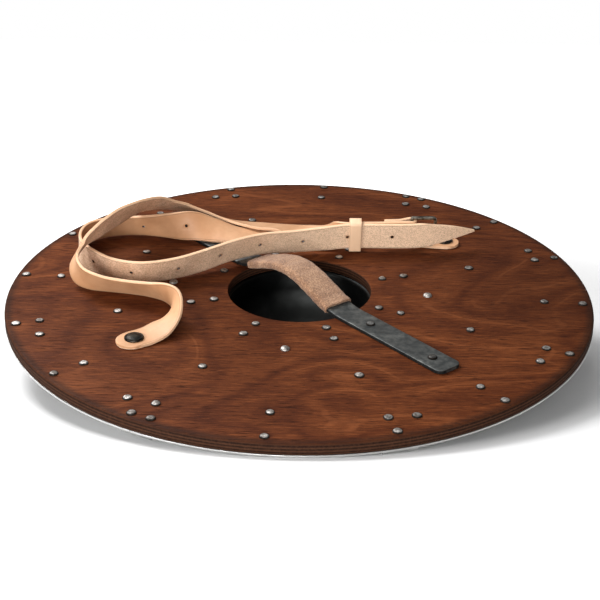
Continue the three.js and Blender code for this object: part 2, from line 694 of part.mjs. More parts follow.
// The strap with the buckle, from its riveted end round the hinge bar and back as a short tail
function buckleStrap() {
  const { total, frameAt } = buckleRoute;
  const count = Math.round((total - endRound) / ribbonStep);
  const stops = Array.from({ length: count + 1 }, (_, i) => endRound + ((total - endRound) * i) / count);
  const rings = [...endStops, ...stops].map((d) => section(frameAt(d), (strapWidth / 2) * roundEnd(d)));
  for (let i = 1; i <= foldSteps; i += 1) {
    const angle = (Math.PI * i) / foldSteps;
    const radial = towardsTail.clone().multiplyScalar(-Math.cos(angle))
      .addScaledVector(strapEnd.forward, Math.sin(angle));
    const out = radial.clone().multiplyScalar(Math.sign(strapEnd.out.dot(towardsTail)) * -1);
    const middle = hinge.clone().addScaledVector(radial, foldRadius);
    rings.push(section({ middle, across: strapEnd.across, out }, strapWidth / 2));
  }
  for (let i = 1; i <= tailSteps; i += 1) {
    const back = (foldTailLength * i) / tailSteps;
    const carrier = frameAt(total - back);
    const ease = Math.min(back / (foldTailLength / 2), 1);
    const closed = strapThickness + foldTailGap;
    const apart = 2 * foldRadius + (closed - 2 * foldRadius) * ease * ease * (3 - 2 * ease);
    const out = carrier.out.clone().negate();
    const middle = carrier.middle.clone().addScaledVector(towardsTail, apart);
    rings.push(section({ middle, across: carrier.across, out }, strapWidth / 2));
  }
  const slotFront = foldRadius + strapThickness;
  const slot = new THREE.BoxGeometry(
    slotFront + prongSlotBack, 2 * slotFront, prongRingLength + 2 * shankClearance,
  );
  slot.translate((slotFront - prongSlotBack) / 2, 0, 0);
  return toGeometry(toSolid(loft(rings, true))
    .subtract(toSolid(slot.applyMatrix4(atHinge)))
    .subtract(foldHole())
    .subtract(holeFor(strapRivets[0], bigShankRadius)));
}

// A rounded rectangle, as a shape or as the hole of one
function roundedRect(target, x0, y0, x1, y1, radius) {
  target.moveTo(x0 + radius, y0);
  target.absarc(x1 - radius, y0 + radius, radius, -Math.PI / 2, 0, false);
  target.absarc(x1 - radius, y1 - radius, radius, 0, Math.PI / 2, false);
  target.absarc(x0 + radius, y1 - radius, radius, Math.PI / 2, Math.PI, false);
  target.absarc(x0 + radius, y0 + radius, radius, Math.PI, (3 * Math.PI) / 2, false);
  return target;
}

// Buckle frame: three flat sides and a round hinge bar
function buckleFrame() {
  const [back, front] = [-hingeBarRadius, buckleLength - hingeBarRadius];
  const half = buckleWidth / 2;
  const outline = roundedRect(new THREE.Shape(), back, -half, front, half, buckleCorner);
  const window = roundedRect(
    new THREE.Shape(), back - cutOverrun, -half + buckleBar, front - buckleBar, half - buckleBar,
    buckleCorner - buckleBar / 2,
  );
  const plate = (shape, depth) => toSolid(new THREE.ExtrudeGeometry(shape, {
    depth, bevelEnabled: false, curveSegments: cornerSteps,
  }).translate(0, 0, -depth / 2).rotateX(Math.PI / 2));
  const body = plate(outline, buckleThickness).subtract(plate(window, buckleThickness + cutOverrun));
  const bar = toSolid(rod(0, 0, hingeBarRadius, -half + buckleBar / 2, half - buckleBar / 2, rivetSides));
  return toGeometry(body.add(bar)).applyMatrix4(atHinge);
}

// Prong: a ring round the hinge bar and a tongue that lies on the frame's far side
function prong() {
  const bore = hingeBarRadius + hingeClearance;
  const outer = bore + prongRingWall;
  const half = prongRingLength / 2;
  const ring = toSolid(turned(
    [[bore, -half], [outer, -half], [outer, half], [bore, half], [bore, -half]], ringSides,
  ));
  const rest = buckleThickness / 2 + hingeClearance;
  const reach = buckleLength - hingeBarRadius + prongOverhang;
  const side = new THREE.Shape([
    [bore + prongRingWall * prongRootShare, -prongThickness * prongRootShare],
    [reach * prongStepShare, rest], [reach, rest], [reach, rest + prongThickness * prongTipShare],
    [reach * prongHeelShare, rest + prongThickness], [bore * prongLapShare, outer * prongTopShare],
  ].map(([x, y]) => new THREE.Vector2(x, y)));
  const tongue = new THREE.ExtrudeGeometry(side, { depth: prongWidth, bevelEnabled: false })
    .translate(0, 0, -prongWidth / 2);
  const cleared = toSolid(tongue).subtract(toSolid(rod(0, 0, bore, -half, half, ringSides)));
  return toGeometry(ring.add(cleared)).applyMatrix4(atHinge);
}

// Keeper: a closed loop of thin leather round both straps
function keeper() {
  const nearest = (path) => {
    let best = null;
    for (let d = 0; d <= path.total; d += ribbonStep / 4) {
      const frame = path.frameAt(d);
      const off = Math.abs(frame.middle.x - keeperShare * boardRadius);
      if (frame.forward.x > 0 && (!best || off < best.off)) best = { off, frame };
    }
    return best.frame;
  };
  const [a, b] = [nearest(buckleRoute), nearest(holeRoute)];
  const forward = a.forward.clone().add(b.forward).setZ(0).normalize();
  const across = b.across.clone().addScaledVector(a.across, Math.sign(a.across.dot(b.across))).normalize();
  const out = new THREE.Vector3().crossVectors(forward, across).normalize();
  across.crossVectors(out, forward).normalize();
  const middle = a.middle.clone().add(b.middle).multiplyScalar(0.5);
  const gap = Math.abs(a.middle.clone().sub(b.middle).dot(out));
  const slack = Math.abs(a.middle.clone().sub(b.middle).dot(across));
  const [x, y] = [(gap + strapThickness) / 2 + keeperClearance, (strapWidth + slack) / 2 + keeperClearance];
  const [p, q] = [x + keeperThickness, y + keeperThickness];
  const outline = roundedRect(new THREE.Shape(), -p, -q, p, q, keeperCorner);
  outline.holes.push(roundedRect(new THREE.Path(), -x, -y, x, y, keeperCorner / 2));
  const loop = new THREE.ExtrudeGeometry(outline, {
    depth: keeperLength, bevelEnabled: false, curveSegments: cornerSteps - 1,
  }).translate(0, 0, -keeperLength / 2);
  return loop.applyMatrix4(new THREE.Matrix4().makeBasis(out, across, forward).setPosition(middle));
}

addPart('board', board(), wood);
addPart('boss', boss(), steel);
addPart('rim_half_1', rimHalf(0), steel);
addPart('rim_half_2', rimHalf(1), steel);
for (let row = 0; row < radialCount; row += 1) {
  addPart(`radial_strap_${row + 1}`, radialStrap(row), steel);
}
studs.forEach((spot, k) => addPart(`front_stud_${k + 1}`, stud(spot), steel));
for (const rivet of rivets) {
  if (rivet.owner === 'own') addPart(rivet.name, toGeometry(rivetSolid(rivet)), rivetSteel);
}
addPart('grip_bar', gripBar(), gripIron);
addPart('grip_sleeve', gripSleeve(), sleeveLeather);
addPart('buckle_strap', buckleStrap(), strapLeather);
addPart('hole_strap', holeStrap(), strapLeather);
strapRivets.forEach((spot, k) => {
  const seat = strapLow + strapThickness + seatGap;
  const sizes = {
    head: bigHeadRadius, rise: bigHeadHeight, shank: bigShankRadius, front: washerRadius,
    drop: washerHeight,
  };
  const profile = rivetProfile(headSeat(boardFront), seat, sizes);
  addPart(`strap_rivet_${k + 1}`, turned(profile, bigRivetSides).translate(spot.x, spot.y, 0), darkMetal);
});
addPart('fold_rivet', foldRivet(), darkMetal);
addPart('keeper', keeper(), strapLeather);
addPart('buckle_frame', buckleFrame(), buckleMetal);
addPart('buckle_prong', prong(), buckleMetal);

export default shield;
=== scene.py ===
# %% [markdown]
# # A round viking shield, seen from its grip side
#
# The shield lies face down on its boss and the near part of its rim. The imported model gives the
# frame: every piece below is made in metres, in that model's own place, and takes its sizes from
# it wherever it can. A piece that replaces a plain solid stays where that solid is.

# %% Load the frame
import json
import math

import bmesh
import bpy
import numpy as np
from mathutils import Matrix, Vector


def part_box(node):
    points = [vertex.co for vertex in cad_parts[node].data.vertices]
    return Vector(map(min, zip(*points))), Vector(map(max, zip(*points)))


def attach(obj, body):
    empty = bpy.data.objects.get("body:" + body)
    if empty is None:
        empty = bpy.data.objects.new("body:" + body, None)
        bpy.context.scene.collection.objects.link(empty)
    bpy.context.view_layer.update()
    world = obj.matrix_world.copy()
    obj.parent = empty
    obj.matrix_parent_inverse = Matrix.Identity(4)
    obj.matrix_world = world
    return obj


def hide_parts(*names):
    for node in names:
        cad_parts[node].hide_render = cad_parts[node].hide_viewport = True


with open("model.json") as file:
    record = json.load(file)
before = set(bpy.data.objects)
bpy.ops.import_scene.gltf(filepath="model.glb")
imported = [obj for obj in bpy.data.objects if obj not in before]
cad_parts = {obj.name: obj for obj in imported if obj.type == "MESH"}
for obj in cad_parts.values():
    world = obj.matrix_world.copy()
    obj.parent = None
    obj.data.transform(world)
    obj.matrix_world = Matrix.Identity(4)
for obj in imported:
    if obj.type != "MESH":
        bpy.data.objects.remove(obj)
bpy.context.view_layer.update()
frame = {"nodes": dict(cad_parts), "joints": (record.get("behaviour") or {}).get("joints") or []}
MM = 0.001
board_low, board_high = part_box("board")
BOARD_RADIUS = board_high.x
BOARD_FRONT = board_low.z
BOARD_BACK = board_high.z
print("board radius", round(BOARD_RADIUS, 4), "from", round(BOARD_FRONT, 4), "to", round(BOARD_BACK, 4))

# %% [markdown]
# ## Camera
#
# A photograph's viewpoint can be worked out from the ellipses that its circles make. Here the
# disc's edge, the rivet circles and the hand hole agree on one long lens, a little over the board.
# The camera is turned a little about its own line of sight, as the photographer's was.

# %% Camera
LENS = 81.1
SENSOR = 36.0
CAMERA_DROP = 26.17
CAMERA_ROLL = 0.60
CAMERA_SPOT = (0.0021 * BOARD_RADIUS, -4.2054 * BOARD_RADIUS, 2.0252 * BOARD_RADIUS + BOARD_BACK)


def add(name, data):
    """Puts a camera, a lamp or a mesh in the scene as an object."""
    made = bpy.data.objects.new(name, data)
    bpy.context.scene.collection.objects.link(made)
    return made


def make_camera():
    """Stands the camera at its spot, looking down by the drop and turned by the roll."""
    data = bpy.data.cameras.new("camera")
    data.lens = LENS
    data.sensor_width = SENSOR
    camera = add("camera", data)
    tilt = Matrix.Rotation(math.radians(90 - CAMERA_DROP), 4, "X")
    roll = Matrix.Rotation(math.radians(CAMERA_ROLL), 4, "Z")
    camera.matrix_world = Matrix.Translation(CAMERA_SPOT) @ tilt @ roll
    bpy.context.scene.camera = camera
    return camera


print("camera at", [round(x, 3) for x in make_camera().location])

# %% [markdown]
# ## Shader maths as Python expressions
#
# A node tree is a formula, and it reads best as one. `Wire` stands for one output of a node, and
# adding or multiplying wires adds the Math nodes that do it. `Finish` is a material while it is
# being made: its one method, `node`, adds any other node, with its settings set first.

# %% Wires and finishes
class Wire:
    """One output of a node. Python's operators on it add Math nodes to the same tree."""

    def __init__(self, finish, socket):
        self.finish = finish
        self.socket = socket

    def __add__(self, other):
        return self.finish.math("ADD", self, other)

    def __sub__(self, other):
        return self.finish.math("SUBTRACT", self, other)

    def __rsub__(self, other):
        return self.finish.math("SUBTRACT", other, self)

    def __mul__(self, other):
        return self.finish.math("MULTIPLY", self, other)

    __radd__ = __add__
    __rmul__ = __mul__

    def smooth(self, low, high):
        """0 below low, 1 above high, and an even S between them."""
        inputs = {"Value": self, "From Min": low, "From Max": high}
        return self.finish.node("MapRange", inputs, interpolation_type="SMOOTHSTEP")

    def toward(self, share, color):
        """This colour where share is 0, and the other one where it is 1."""
        return self.finish.mix(share, self, color)


class Finish:
    """A material, or the world, while it is being made."""

    def __init__(self, name, library=bpy.data.materials, shader="Principled BSDF"):
        self.made = library.new(name)
        self.made.use_nodes = True
        self.tree = self.made.node_tree
        self.shader = self.tree.nodes[shader]

    def node(self, kind, inputs=None, out=0, stops=(), **settings):
        """Adds a node of that kind: its settings and a ramp's stops first, then its inputs."""
        made = self.tree.nodes.new("ShaderNode" + kind)
        for key, value in settings.items():
            setattr(made, key, value)
        if stops:
            ramp = made.color_ramp.elements
            for _ in stops[2:]:
                ramp.new(1.0)
            for stop, (position, color) in zip(ramp, stops):
                stop.position = position
                stop.color = (*color, 1.0)
        for key, value in (inputs or {}).items():
            self.feed(made.inputs[key], value)
        return Wire(self, made.outputs[out])

    def feed(self, socket, value):
        """Links a wire, or sets a plain value; a colour gets its fourth number here."""
        if isinstance(value, Wire):
            self.tree.links.new(value.socket, socket)
        else:
            socket.default_value = (*value, 1.0) if socket.type == "RGBA" else value

    def math(self, operation, *values):
        return self.node("Math", dict(enumerate(values)), operation=operation)

    @property
    def place(self):
        """The object's own coordinates."""
        return self.node("TexCoord", out="Object")

    def stretched(self, scale, where=None):
        """Coordinates times a scale along each axis."""
        return self.node("Mapping", {"Vector": where or self.place, "Scale": scale})

    def noise(self, scale, where=None, detail=3.0, roughness=0.55, distortion=0.0):
        """Cloudy noise around 0.5, with that many clouds in a metre."""
        return self.node("TexNoise", {
            "Vector": where or self.place, "Scale": scale, "Detail": detail, "Roughness": roughness,
            "Distortion": distortion,
        })

    def strands(self, along, across, **more):
        """Noise drawn out along X: so many clouds in a metre along it, and so many across."""
        return self.noise(1.0, self.stretched((along, across, across)), **more)

    def ray(self, kind):
        """1 for light rays of that kind, 0 for all others."""
        return self.node("LightPath", out=f"Is {kind} Ray")

    def trait(self, name):
        """A number that the mesh carries at each point."""
        return self.node("Attribute", out="Fac", attribute_name=name)

    def mix(self, share, first, second):
        """first where share is 0, second where it is 1."""
        return self.node("Mix", {0: share, 6: first, 7: second}, out=2, data_type="RGBA", clamp_factor=True)

    def relief(self, *layers):
        """Reliefs laid on each other, each a height from 0 to 1 and its depth in metres."""
        normal = {}
        for height, depth in layers:
            inputs = {"Height": height, "Distance": depth, "Strength": 1.0}
            normal = {"Normal": self.node("Bump", inputs | normal)}
        return normal["Normal"]

    def done(self, **sockets):
        """Sets or links the shader's own sockets; Base_Color stands for Base Color."""
        for key, value in sockets.items():
            self.feed(self.shader.inputs[key.replace("_", " ")], value)
        return self.made


def paint(red, green, blue):
    """A colour as a screen shows it, 0 to 255, as the linear light that shaders use."""
    channel = np.array([red, green, blue]) / 255
    return tuple(np.where(channel <= 0.04045, channel / 12.92, ((channel + 0.055) / 1.055) ** 2.4).tolist())


print("a middle grey is", round(paint(128, 128, 128)[0], 3), "in linear light")

# %% [markdown]
# ## Floor and light
#
# The shield lies tilted: its boss and its near rim touch the ground. The frame keeps the disc
# level, so the floor is tilted instead, on the plane that just touches both. The plane is found
# from the frame's own points. The ground is a plain white sweep: further off, the camera and what
# mirrors the ground see it lighter than it is lit, which keeps the shadow and loses the horizon.

# %% Floor
NEAR_SHARE = 0.5
MIDDLE_SHARE = 0.3
SLOPES = np.linspace(0.05, 0.6, 2201)
FLOOR_REACH = 6.0
FLOOR_GREY = 0.86
HAZE_START = 0.45
HAZE_END = 1.3


def resting_plane():
    """The slope and offset of the plane z = offset - slope y that touches the boss and the near rim.

    For each slope the offset of a group of points is the least z + slope y, and the plane is where
    both groups give the same offset.
    """
    meshes = [node.data for node in frame["nodes"].values()]
    points = np.concatenate([np.array([v.co for v in mesh.vertices]) for mesh in meshes])
    y = points[:, 1]
    groups = points[y < -NEAR_SHARE * BOARD_RADIUS], points[np.abs(y) < MIDDLE_SHARE * BOARD_RADIUS]
    near, middle = (np.min(group[:, 2:] + group[:, 1:2] * SLOPES, axis=0) for group in groups)
    best = np.argmin(np.abs(near - middle))
    return float(SLOPES[best]), float(min(near[best], middle[best]))


def floor_finish():
    """White ground: lit as paper is, and far off seen with light of its own. Its underside is clear."""
    finish = Finish("white_sweep")
    paper = finish.node("BsdfDiffuse", {"Color": (FLOOR_GREY,) * 3})
    away = finish.node("VectorMath", {0: finish.place}, out="Value", operation="LENGTH")
    haze = finish.mix(away.smooth(HAZE_START, HAZE_END), paint(0, 0, 0), paint(255, 255, 255))
    glow = finish.node("Emission", {"Color": haze, "Strength": 1.0})
    seen = finish.math("MAXIMUM", finish.ray("Camera"), finish.ray("Glossy") + finish.ray("Transmission"))
    lit = finish.node("MixShader", {0: seen, 1: paper, 2: finish.node("AddShader", {0: paper, 1: glow})})
    behind = finish.node("NewGeometry", out="Backfacing")
    whole = finish.node("MixShader", {0: behind, 1: lit, 2: finish.node("BsdfTransparent")})
    finish.feed(finish.tree.nodes["Material Output"].inputs["Surface"], whole)
    return finish.made


def make_floor():
    """A square on the resting plane, z = offset - slope y."""
    mesh = bpy.data.meshes.new("floor")
    sides = [(x * FLOOR_REACH, y * FLOOR_REACH) for x, y in ((-1, -1), (1, -1), (1, 1), (-1, 1))]
    mesh.from_pydata([(x, y, FLOOR_OFFSET - FLOOR_SLOPE * y) for x, y in sides], [], [(0, 1, 2, 3)])
    mesh.materials.append(floor_finish())
    add("floor", mesh)


FLOOR_SLOPE, FLOOR_OFFSET = resting_plane()
FLOOR_TILT = math.atan(FLOOR_SLOPE)
make_floor()
print("the floor is tilted by", round(math.degrees(FLOOR_TILT), 2), "degrees")

# %% Light
WORLD_LEVEL = 0.24
LAMPS = {
    "key_box": ((-1.05, 0.55, 1.75), 0.8, 41.0),
    "overhead_box": ((-0.3, 0.1, 2.0), 1.2, 9.0),
    "side_box": ((-1.65, -1.65, 0.75), 0.8, 30.0),
    "front_box": ((-0.35, -2.3, 0.34), 0.7, 34.0),
}


def make_world():
    """White where the camera sees it, and an even, weaker light for all else."""
    sky = Finish("studio", bpy.data.worlds, "Background")
    seen = sky.math("MAXIMUM", sky.ray("Camera"), sky.ray("Transmission"))
    level = sky.node("MapRange", {"Value": seen, "To Min": WORLD_LEVEL, "To Max": 1.0})
    bpy.context.scene.world = sky.done(Color=paint(255, 255, 255), Strength=level)


def lamp(name, spot, size, power):
    """A square soft box at a place in the room, aimed at the shield; the room leans as the floor does."""
    data = bpy.data.lights.new(name, "AREA")
    data.energy = power
    data.size = size
    place = Matrix.Rotation(-FLOOR_TILT, 4, "X") @ Vector(spot)
    aim = (Vector((0, 0, BOARD_BACK)) - place).to_track_quat("-Z", "Y").to_matrix().to_4x4()
    add(name, data).matrix_world = Matrix.Translation(place) @ aim


make_world()
for name, facts in LAMPS.items():
    lamp(name, *facts)
bpy.context.scene.view_settings.view_transform = "Standard"
print("lamps:", list(LAMPS))

# %% [markdown]
# ## Surfaces from whole arrays
#
# Every new piece is a grid of points worked out at once with numpy: rows run one way over the
# surface and columns the other. `shape` joins neighbouring points by quads, closes the grid where
# it meets itself, welds the poles and turns the faces outward. `skin` makes a piece of it.

# %% Grid surfaces
WELD = 1e-6
SHARP = 38
pieces = []


def rows(*columns):
    """Puts arrays side by side, as the coordinates of points."""
    return np.stack(np.broadcast_arrays(*columns), axis=-1)


def round_turn(steps):
    """Angles all the way round; the last step would repeat the first, so it is left out."""
    return np.linspace(0, 2 * math.pi, steps, endpoint=False)


def lattice(high, wide, close_rows, close_cols):
    """The four corners of each cell of a grid; a closed way joins the last line to the first."""
    i, j = np.meshgrid(np.arange(high - (not close_rows)), np.arange(wide - (not close_cols)), indexing="ij")
    k, n = (i + 1) % high, (j + 1) % wide
    return rows(i * wide + j, k * wide + j, k * wide + n, i * wide + n).reshape(-1, 4)


def shape(name, sheets):
    """One mesh of one or more grids, each (points, close_rows, close_cols, traits)."""
    points, faces, traits = [], [], {}
    start = 0
    for grid, close_rows, close_cols, marks in sheets:
        size = grid.shape[:2]
        faces.append(lattice(*size, close_rows, close_cols) + start)
        points.append(grid.reshape(-1, 3))
        for key, value in marks.items():
            traits.setdefault(key, []).append(np.broadcast_to(value, size).reshape(-1))
        start += size[0] * size[1]
    mesh = bpy.data.meshes.new(name)
    mesh.from_pydata(np.concatenate(points), [], np.concatenate(faces).tolist())
    for key, value in traits.items():
        holder = mesh.attributes.new(key, "FLOAT", "POINT").data
        holder.foreach_set("value", np.concatenate(value).astype(np.float32))
    shell = bmesh.new()
    shell.from_mesh(mesh)
    bmesh.ops.remove_doubles(shell, verts=shell.verts, dist=WELD)
    bmesh.ops.recalc_face_normals(shell, faces=shell.faces)
    shell.to_mesh(mesh)
    shell.free()
    return mesh


def skin(name, sheets, finish, replaces, body="shield", sharp=SHARP):
    """Puts a shape in the scene as a piece that rides on its body and stands for plain solids."""
    mesh = shape(name, sheets)
    mesh.materials.append(finish)
    mesh.shade_smooth()
    mesh.set_sharp_from_angle(angle=math.radians(sharp))
    piece = add(name, mesh)
    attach(piece, body)
    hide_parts(*replaces)
    pieces.append(piece)
    return piece


def turned(profile, turn, spot=(0.0, 0.0)):
    """A profile of (radius, height) rows at each angle about a line along Z through spot.

    Point = spot + radius (cos turn, sin turn), at its height.
    """
    radius, height = np.asarray(profile, float).T[:, :, None]
    return rows(spot[0] + radius * np.cos(turn), spot[1] + radius * np.sin(turn), height)


def arc(centre, radius, from_angle, to_angle, steps=4):
    """Points on a circle's arc, angles in degrees, as (x, y) rows."""
    angle = np.radians(np.linspace(from_angle, to_angle, steps + 1))
    return rows(centre[0] + radius * np.cos(angle), centre[1] + radius * np.sin(angle))


def plate_profile(inner, outer, low, high, rounds):
    """A closed profile of a flat ring: a rectangle with its four corners rounded."""
    a, b, c, d = rounds
    return np.concatenate([
        arc((inner + a, low + a), a, 180, 270), arc((outer - b, low + b), b, 270, 360),
        arc((outer - c, high - c), c, 0, 90), arc((inner + d, high - d), d, 90, 180),
    ])


print("surfaces are ready")

# %% [markdown]
# ## Board
#
# The board is birch plywood, stained a dark reddish brown and waxed. Its veneer shows long fine
# fibres along X, soft rings from the way it was peeled off the log, and a few paler streaks. The
# rounded edge is worn dark and shows the plies as thin dark and light lines, under the same stain.

# %% Stained plywood
PLY_COUNT = 7
FIGURE_RINGS = 11.0
DEEP_SPOT = (0.26, 0.0, BOARD_BACK)
BACK_ROUND = 3.2 * MM
WORN_EDGE = 11 * MM


def stained_wood():
    """Stain soaks in by the veneer's figure, its fibres and its pores, all drawn out along X. The board is
    also darker round one spot right of the middle.
    """
    finish = Finish("stained_wood")
    ring = finish.strands(2.6, 5.0, detail=2.5, roughness=0.45, distortion=0.8) * (FIGURE_RINGS * math.pi)
    ring = finish.math("ABSOLUTE", finish.math("SINE", ring))
    bands = finish.strands(3.2, 46.0, detail=4.0, roughness=0.6, distortion=0.5)
    streak = finish.strands(18.0, 250.0, detail=5.0, roughness=0.74, distortion=0.2)
    fibre = finish.strands(60.0, 560.0, detail=5.0, roughness=0.8)
    pore = finish.strands(60.0, 700.0, roughness=0.6).smooth(0.56, 0.68)
    cloud = finish.noise(7.0)
    mottle = finish.noise(420.0, detail=4.0, roughness=0.7)
    contour = ring.smooth(0.975, 1.0) * cloud.smooth(0.48, 0.60)
    tone = bands * 0.20 + ring.smooth(0.05, 0.95) * 0.10 + cloud * 0.28 + streak * 0.40
    color = finish.node("ValToRGB", {"Fac": tone}, stops=[
        (0.34, paint(58, 25, 11)), (0.46, paint(80, 39, 19)), (0.54, paint(92, 47, 23)),
        (0.68, paint(120, 66, 35))])
    color = color.toward(fibre.smooth(0.45, 0.60) * 0.45, paint(50, 21, 10))
    color = color.toward((1 - fibre).smooth(0.54, 0.70) * 0.45, paint(142, 80, 43))
    color = color.toward(contour * 0.20, paint(150, 88, 52))
    color = color.toward(pore * 0.7, paint(30, 12, 6))
    # Darker round one spot right of the middle of the board.
    spot = finish.node("VectorMath", {0: finish.place, 1: DEEP_SPOT}, out="Value", operation="DISTANCE")
    color = color.toward((1 - spot.smooth(0.03, 0.17)) * 0.4, paint(44, 18, 8))
    flat = finish.stretched((1.0, 1.0, 0.0))
    radius = finish.node("VectorMath", {0: flat}, out="Value", operation="LENGTH")
    worn = radius.smooth(BOARD_RADIUS - WORN_EDGE, BOARD_RADIUS - BACK_ROUND)
    color = color.toward(worn * (0.35 + mottle * 0.6), paint(38, 23, 16))
    height = finish.node("SeparateXYZ", {0: finish.place}, out=2)
    depth = (height - BOARD_FRONT) * (PLY_COUNT * math.pi / (BOARD_BACK - BOARD_FRONT))
    plies = finish.math("SINE", depth).smooth(-0.5, 0.6)
    end_grain = finish.mix(plies * 0.6 + mottle.smooth(0.4, 0.7) * 0.4, paint(34, 21, 15), paint(74, 47, 33))
    upright = finish.node("SeparateXYZ", {0: finish.node("NewGeometry", out="Normal")}, out=2)
    edge = 1 - finish.math("ABSOLUTE", upright).smooth(0.35, 0.95)
    return finish.done(
        Base_Color=color.toward(edge, end_grain), Specular_IOR_Level=0.05,
        Roughness=0.44 + streak * 0.14 + cloud * 0.08 + pore * 0.15 + edge * 0.2,
        Normal=finish.relief((fibre * 0.6 + (1 - pore) * 0.4, 0.3 * MM), (bands, 0.8 * MM)))


wood = stained_wood()
print("made", wood.name)

# %% Board
HOLE_RADIUS = 74 * MM
FRONT_ROUND = 1.2 * MM
HOLE_ROUND = 0.9 * MM
BOARD_STEPS = 256
board_profile = plate_profile(
    HOLE_RADIUS, BOARD_RADIUS, BOARD_FRONT, BOARD_BACK, (HOLE_ROUND, FRONT_ROUND, BACK_ROUND, HOLE_ROUND))
board = turned(board_profile, round_turn(BOARD_STEPS))
skin("plank_board", [(board, True, True, {})], wood, ["board"])
print("board profile has", len(board_profile), "points")

# %% [markdown]
# ## Steel
#
# The boss, the rim and the radial straps are one kind of sheet steel: grey, rolled and a little
# darkened, and lighter at the rim's edge, partly rubbed bright and partly a painted highlight.
# Clouds change its colour and polish, and fine scratches and hammer marks are in its relief.
# Inside, the boss is painted near-black: painted shade in its hollow.

# %% Sheet steel and rivet steel
def sheet_steel():
    """Clouded grey with a little rust, painted near-black as shade where "inside" says so, and lighter where
    "edge" does: partly wear, partly a painted highlight.
    """
    finish = Finish("sheet_steel")
    cloud = finish.noise(14.0, detail=4.0)
    dents = finish.node(
        "TexVoronoi", {"Vector": finish.place, "Scale": 75.0, "Smoothness": 0.8}, feature="SMOOTH_F1")
    scratch = finish.noise(1.0, finish.stretched((60.0, 2200.0, 300.0)), detail=2.0)
    rust = finish.noise(38.0, detail=5.0, roughness=0.7).smooth(0.60, 0.78)
    inside = finish.trait("inside")
    # Inside the boss the steel is painted near-black: painted shade in the hollow.
    painted_shade_black = finish.mix(cloud.smooth(0.35, 0.7), paint(26, 27, 27), paint(52, 53, 52))
    color = finish.mix(cloud.smooth(0.3, 0.7), paint(140, 141, 141), paint(188, 188, 185))
    color = color.toward(rust * 0.3, paint(96, 76, 60)).toward(inside, painted_shade_black)
    # The rim's outer edge is lighter: partly rubbed bright, partly a painted highlight.
    color = color.toward(finish.trait("edge").smooth(0.96, 0.99), paint(212, 212, 210))
    return finish.done(
        Base_Color=color, Roughness=0.28 + cloud * 0.16 + rust * 0.2 + inside * 0.1, Metallic=1.0,
        Normal=finish.relief((dents, 0.7 * MM), (scratch, 0.08 * MM)))


def rivet_steel():
    """Grimy on top, dark all round the head's foot with grime and painted shade, and dull all over where a
    trait says so.
    """
    finish = Finish("rivet_steel")
    cloud = finish.noise(160.0)
    grime = finish.noise(420.0, detail=4.0, roughness=0.7).smooth(0.46, 0.62)
    # The foot of each head is darkened, partly as grime and partly as painted shade round its edge.
    foot_grime_and_shade = finish.trait("foot_grime_and_shade").smooth(0.62, 0.92)
    color = finish.mix(cloud.smooth(0.35, 0.65), paint(126, 121, 116), paint(194, 190, 185))
    color = color.toward(grime * 0.72, paint(74, 66, 60))
    color = color.toward(finish.trait("dull") * 0.75, paint(64, 66, 66))
    return finish.done(
        Base_Color=color.toward(foot_grime_and_shade * 0.92, paint(30, 23, 18)), Metallic=1.0,
        Roughness=0.40 + cloud * 0.16 + grime * 0.1 + foot_grime_and_shade * 0.3,
        Normal=finish.relief((finish.noise(900.0, detail=2.0), 0.2 * MM)))


steel = sheet_steel()
bright = rivet_steel()
print("made", steel.name, bright.name)

# %% [markdown]
# ## Boss
#
# A boss is a bowl beaten out of one sheet, so the inside is the outside a sheet's thickness in.
# The dome is half of an ellipse on a short leaning wall, and the flange lies flat on the board's
# front. One profile that goes down the outside and back up the inside is turned about the axis.

# %% Boss
SEAT_GAP = 0.3 * MM
BOSS_SHEET = 2.0 * MM
BOSS_WALL = 16 * MM
BOSS_LEAN = 3 * MM
BOSS_STEPS = 160
DOME_STEPS = 32
FLANGE_ROUND = 0.6 * MM
FLANGE_BEND = 3.0 * MM


def boss_profile():
    """Two rows of points, the outside and the inside: quarter ellipse, leaning wall and flange."""
    back = BOARD_FRONT - SEAT_GAP
    front = back - BOSS_SHEET
    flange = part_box("boss")[1].x
    dome = HOLE_RADIUS - BOSS_LEAN
    top = front - BOSS_WALL
    angle = np.radians(np.linspace(0, 90, DOME_STEPS + 1))
    rounded = lambda inset: rows((dome - inset) * np.cos(angle), top - (top - inset) * np.sin(angle))
    bent = (HOLE_RADIUS + FLANGE_BEND, front - FLANGE_BEND)
    bend = arc(bent, FLANGE_BEND, 170, 90, 5)
    crease = arc(bent, FLANGE_BEND + BOSS_SHEET, 90, 170, 5)
    lip = arc((flange - FLANGE_ROUND, front + FLANGE_ROUND), FLANGE_ROUND, 270, 360)
    rim = arc((flange - FLANGE_ROUND, back - FLANGE_ROUND), FLANGE_ROUND, 0, 90)
    return np.concatenate([rounded(0.0)[::-1], bend, lip, rim]), np.concatenate([crease, rounded(BOSS_SHEET)])


outside, inside = boss_profile()
boss_shape = np.concatenate([outside, inside])
boss_shape[[0, -1], 0] = 0.0
is_inside = np.repeat([0, 1], [len(outside), len(inside)])[:, None]
boss = turned(boss_shape, round_turn(BOSS_STEPS))
skin("steel_boss", [(boss, False, True, {"inside": is_inside})], steel, ["boss"], sharp=60)
print("the boss is", round((BOARD_FRONT - boss_shape[:, 1].min()) / MM, 1), "mm deep")

# %% [markdown]
# ## Rivets
#
# Each rivet is a nail that was cut short and hammered over on the back: a low head with a few flat
# facets, no two alike, and slightly out of round. The head is a low dome cut by four tilted
# planes, which is what four hammer blows leave. A shank joins it to the round head on the front.

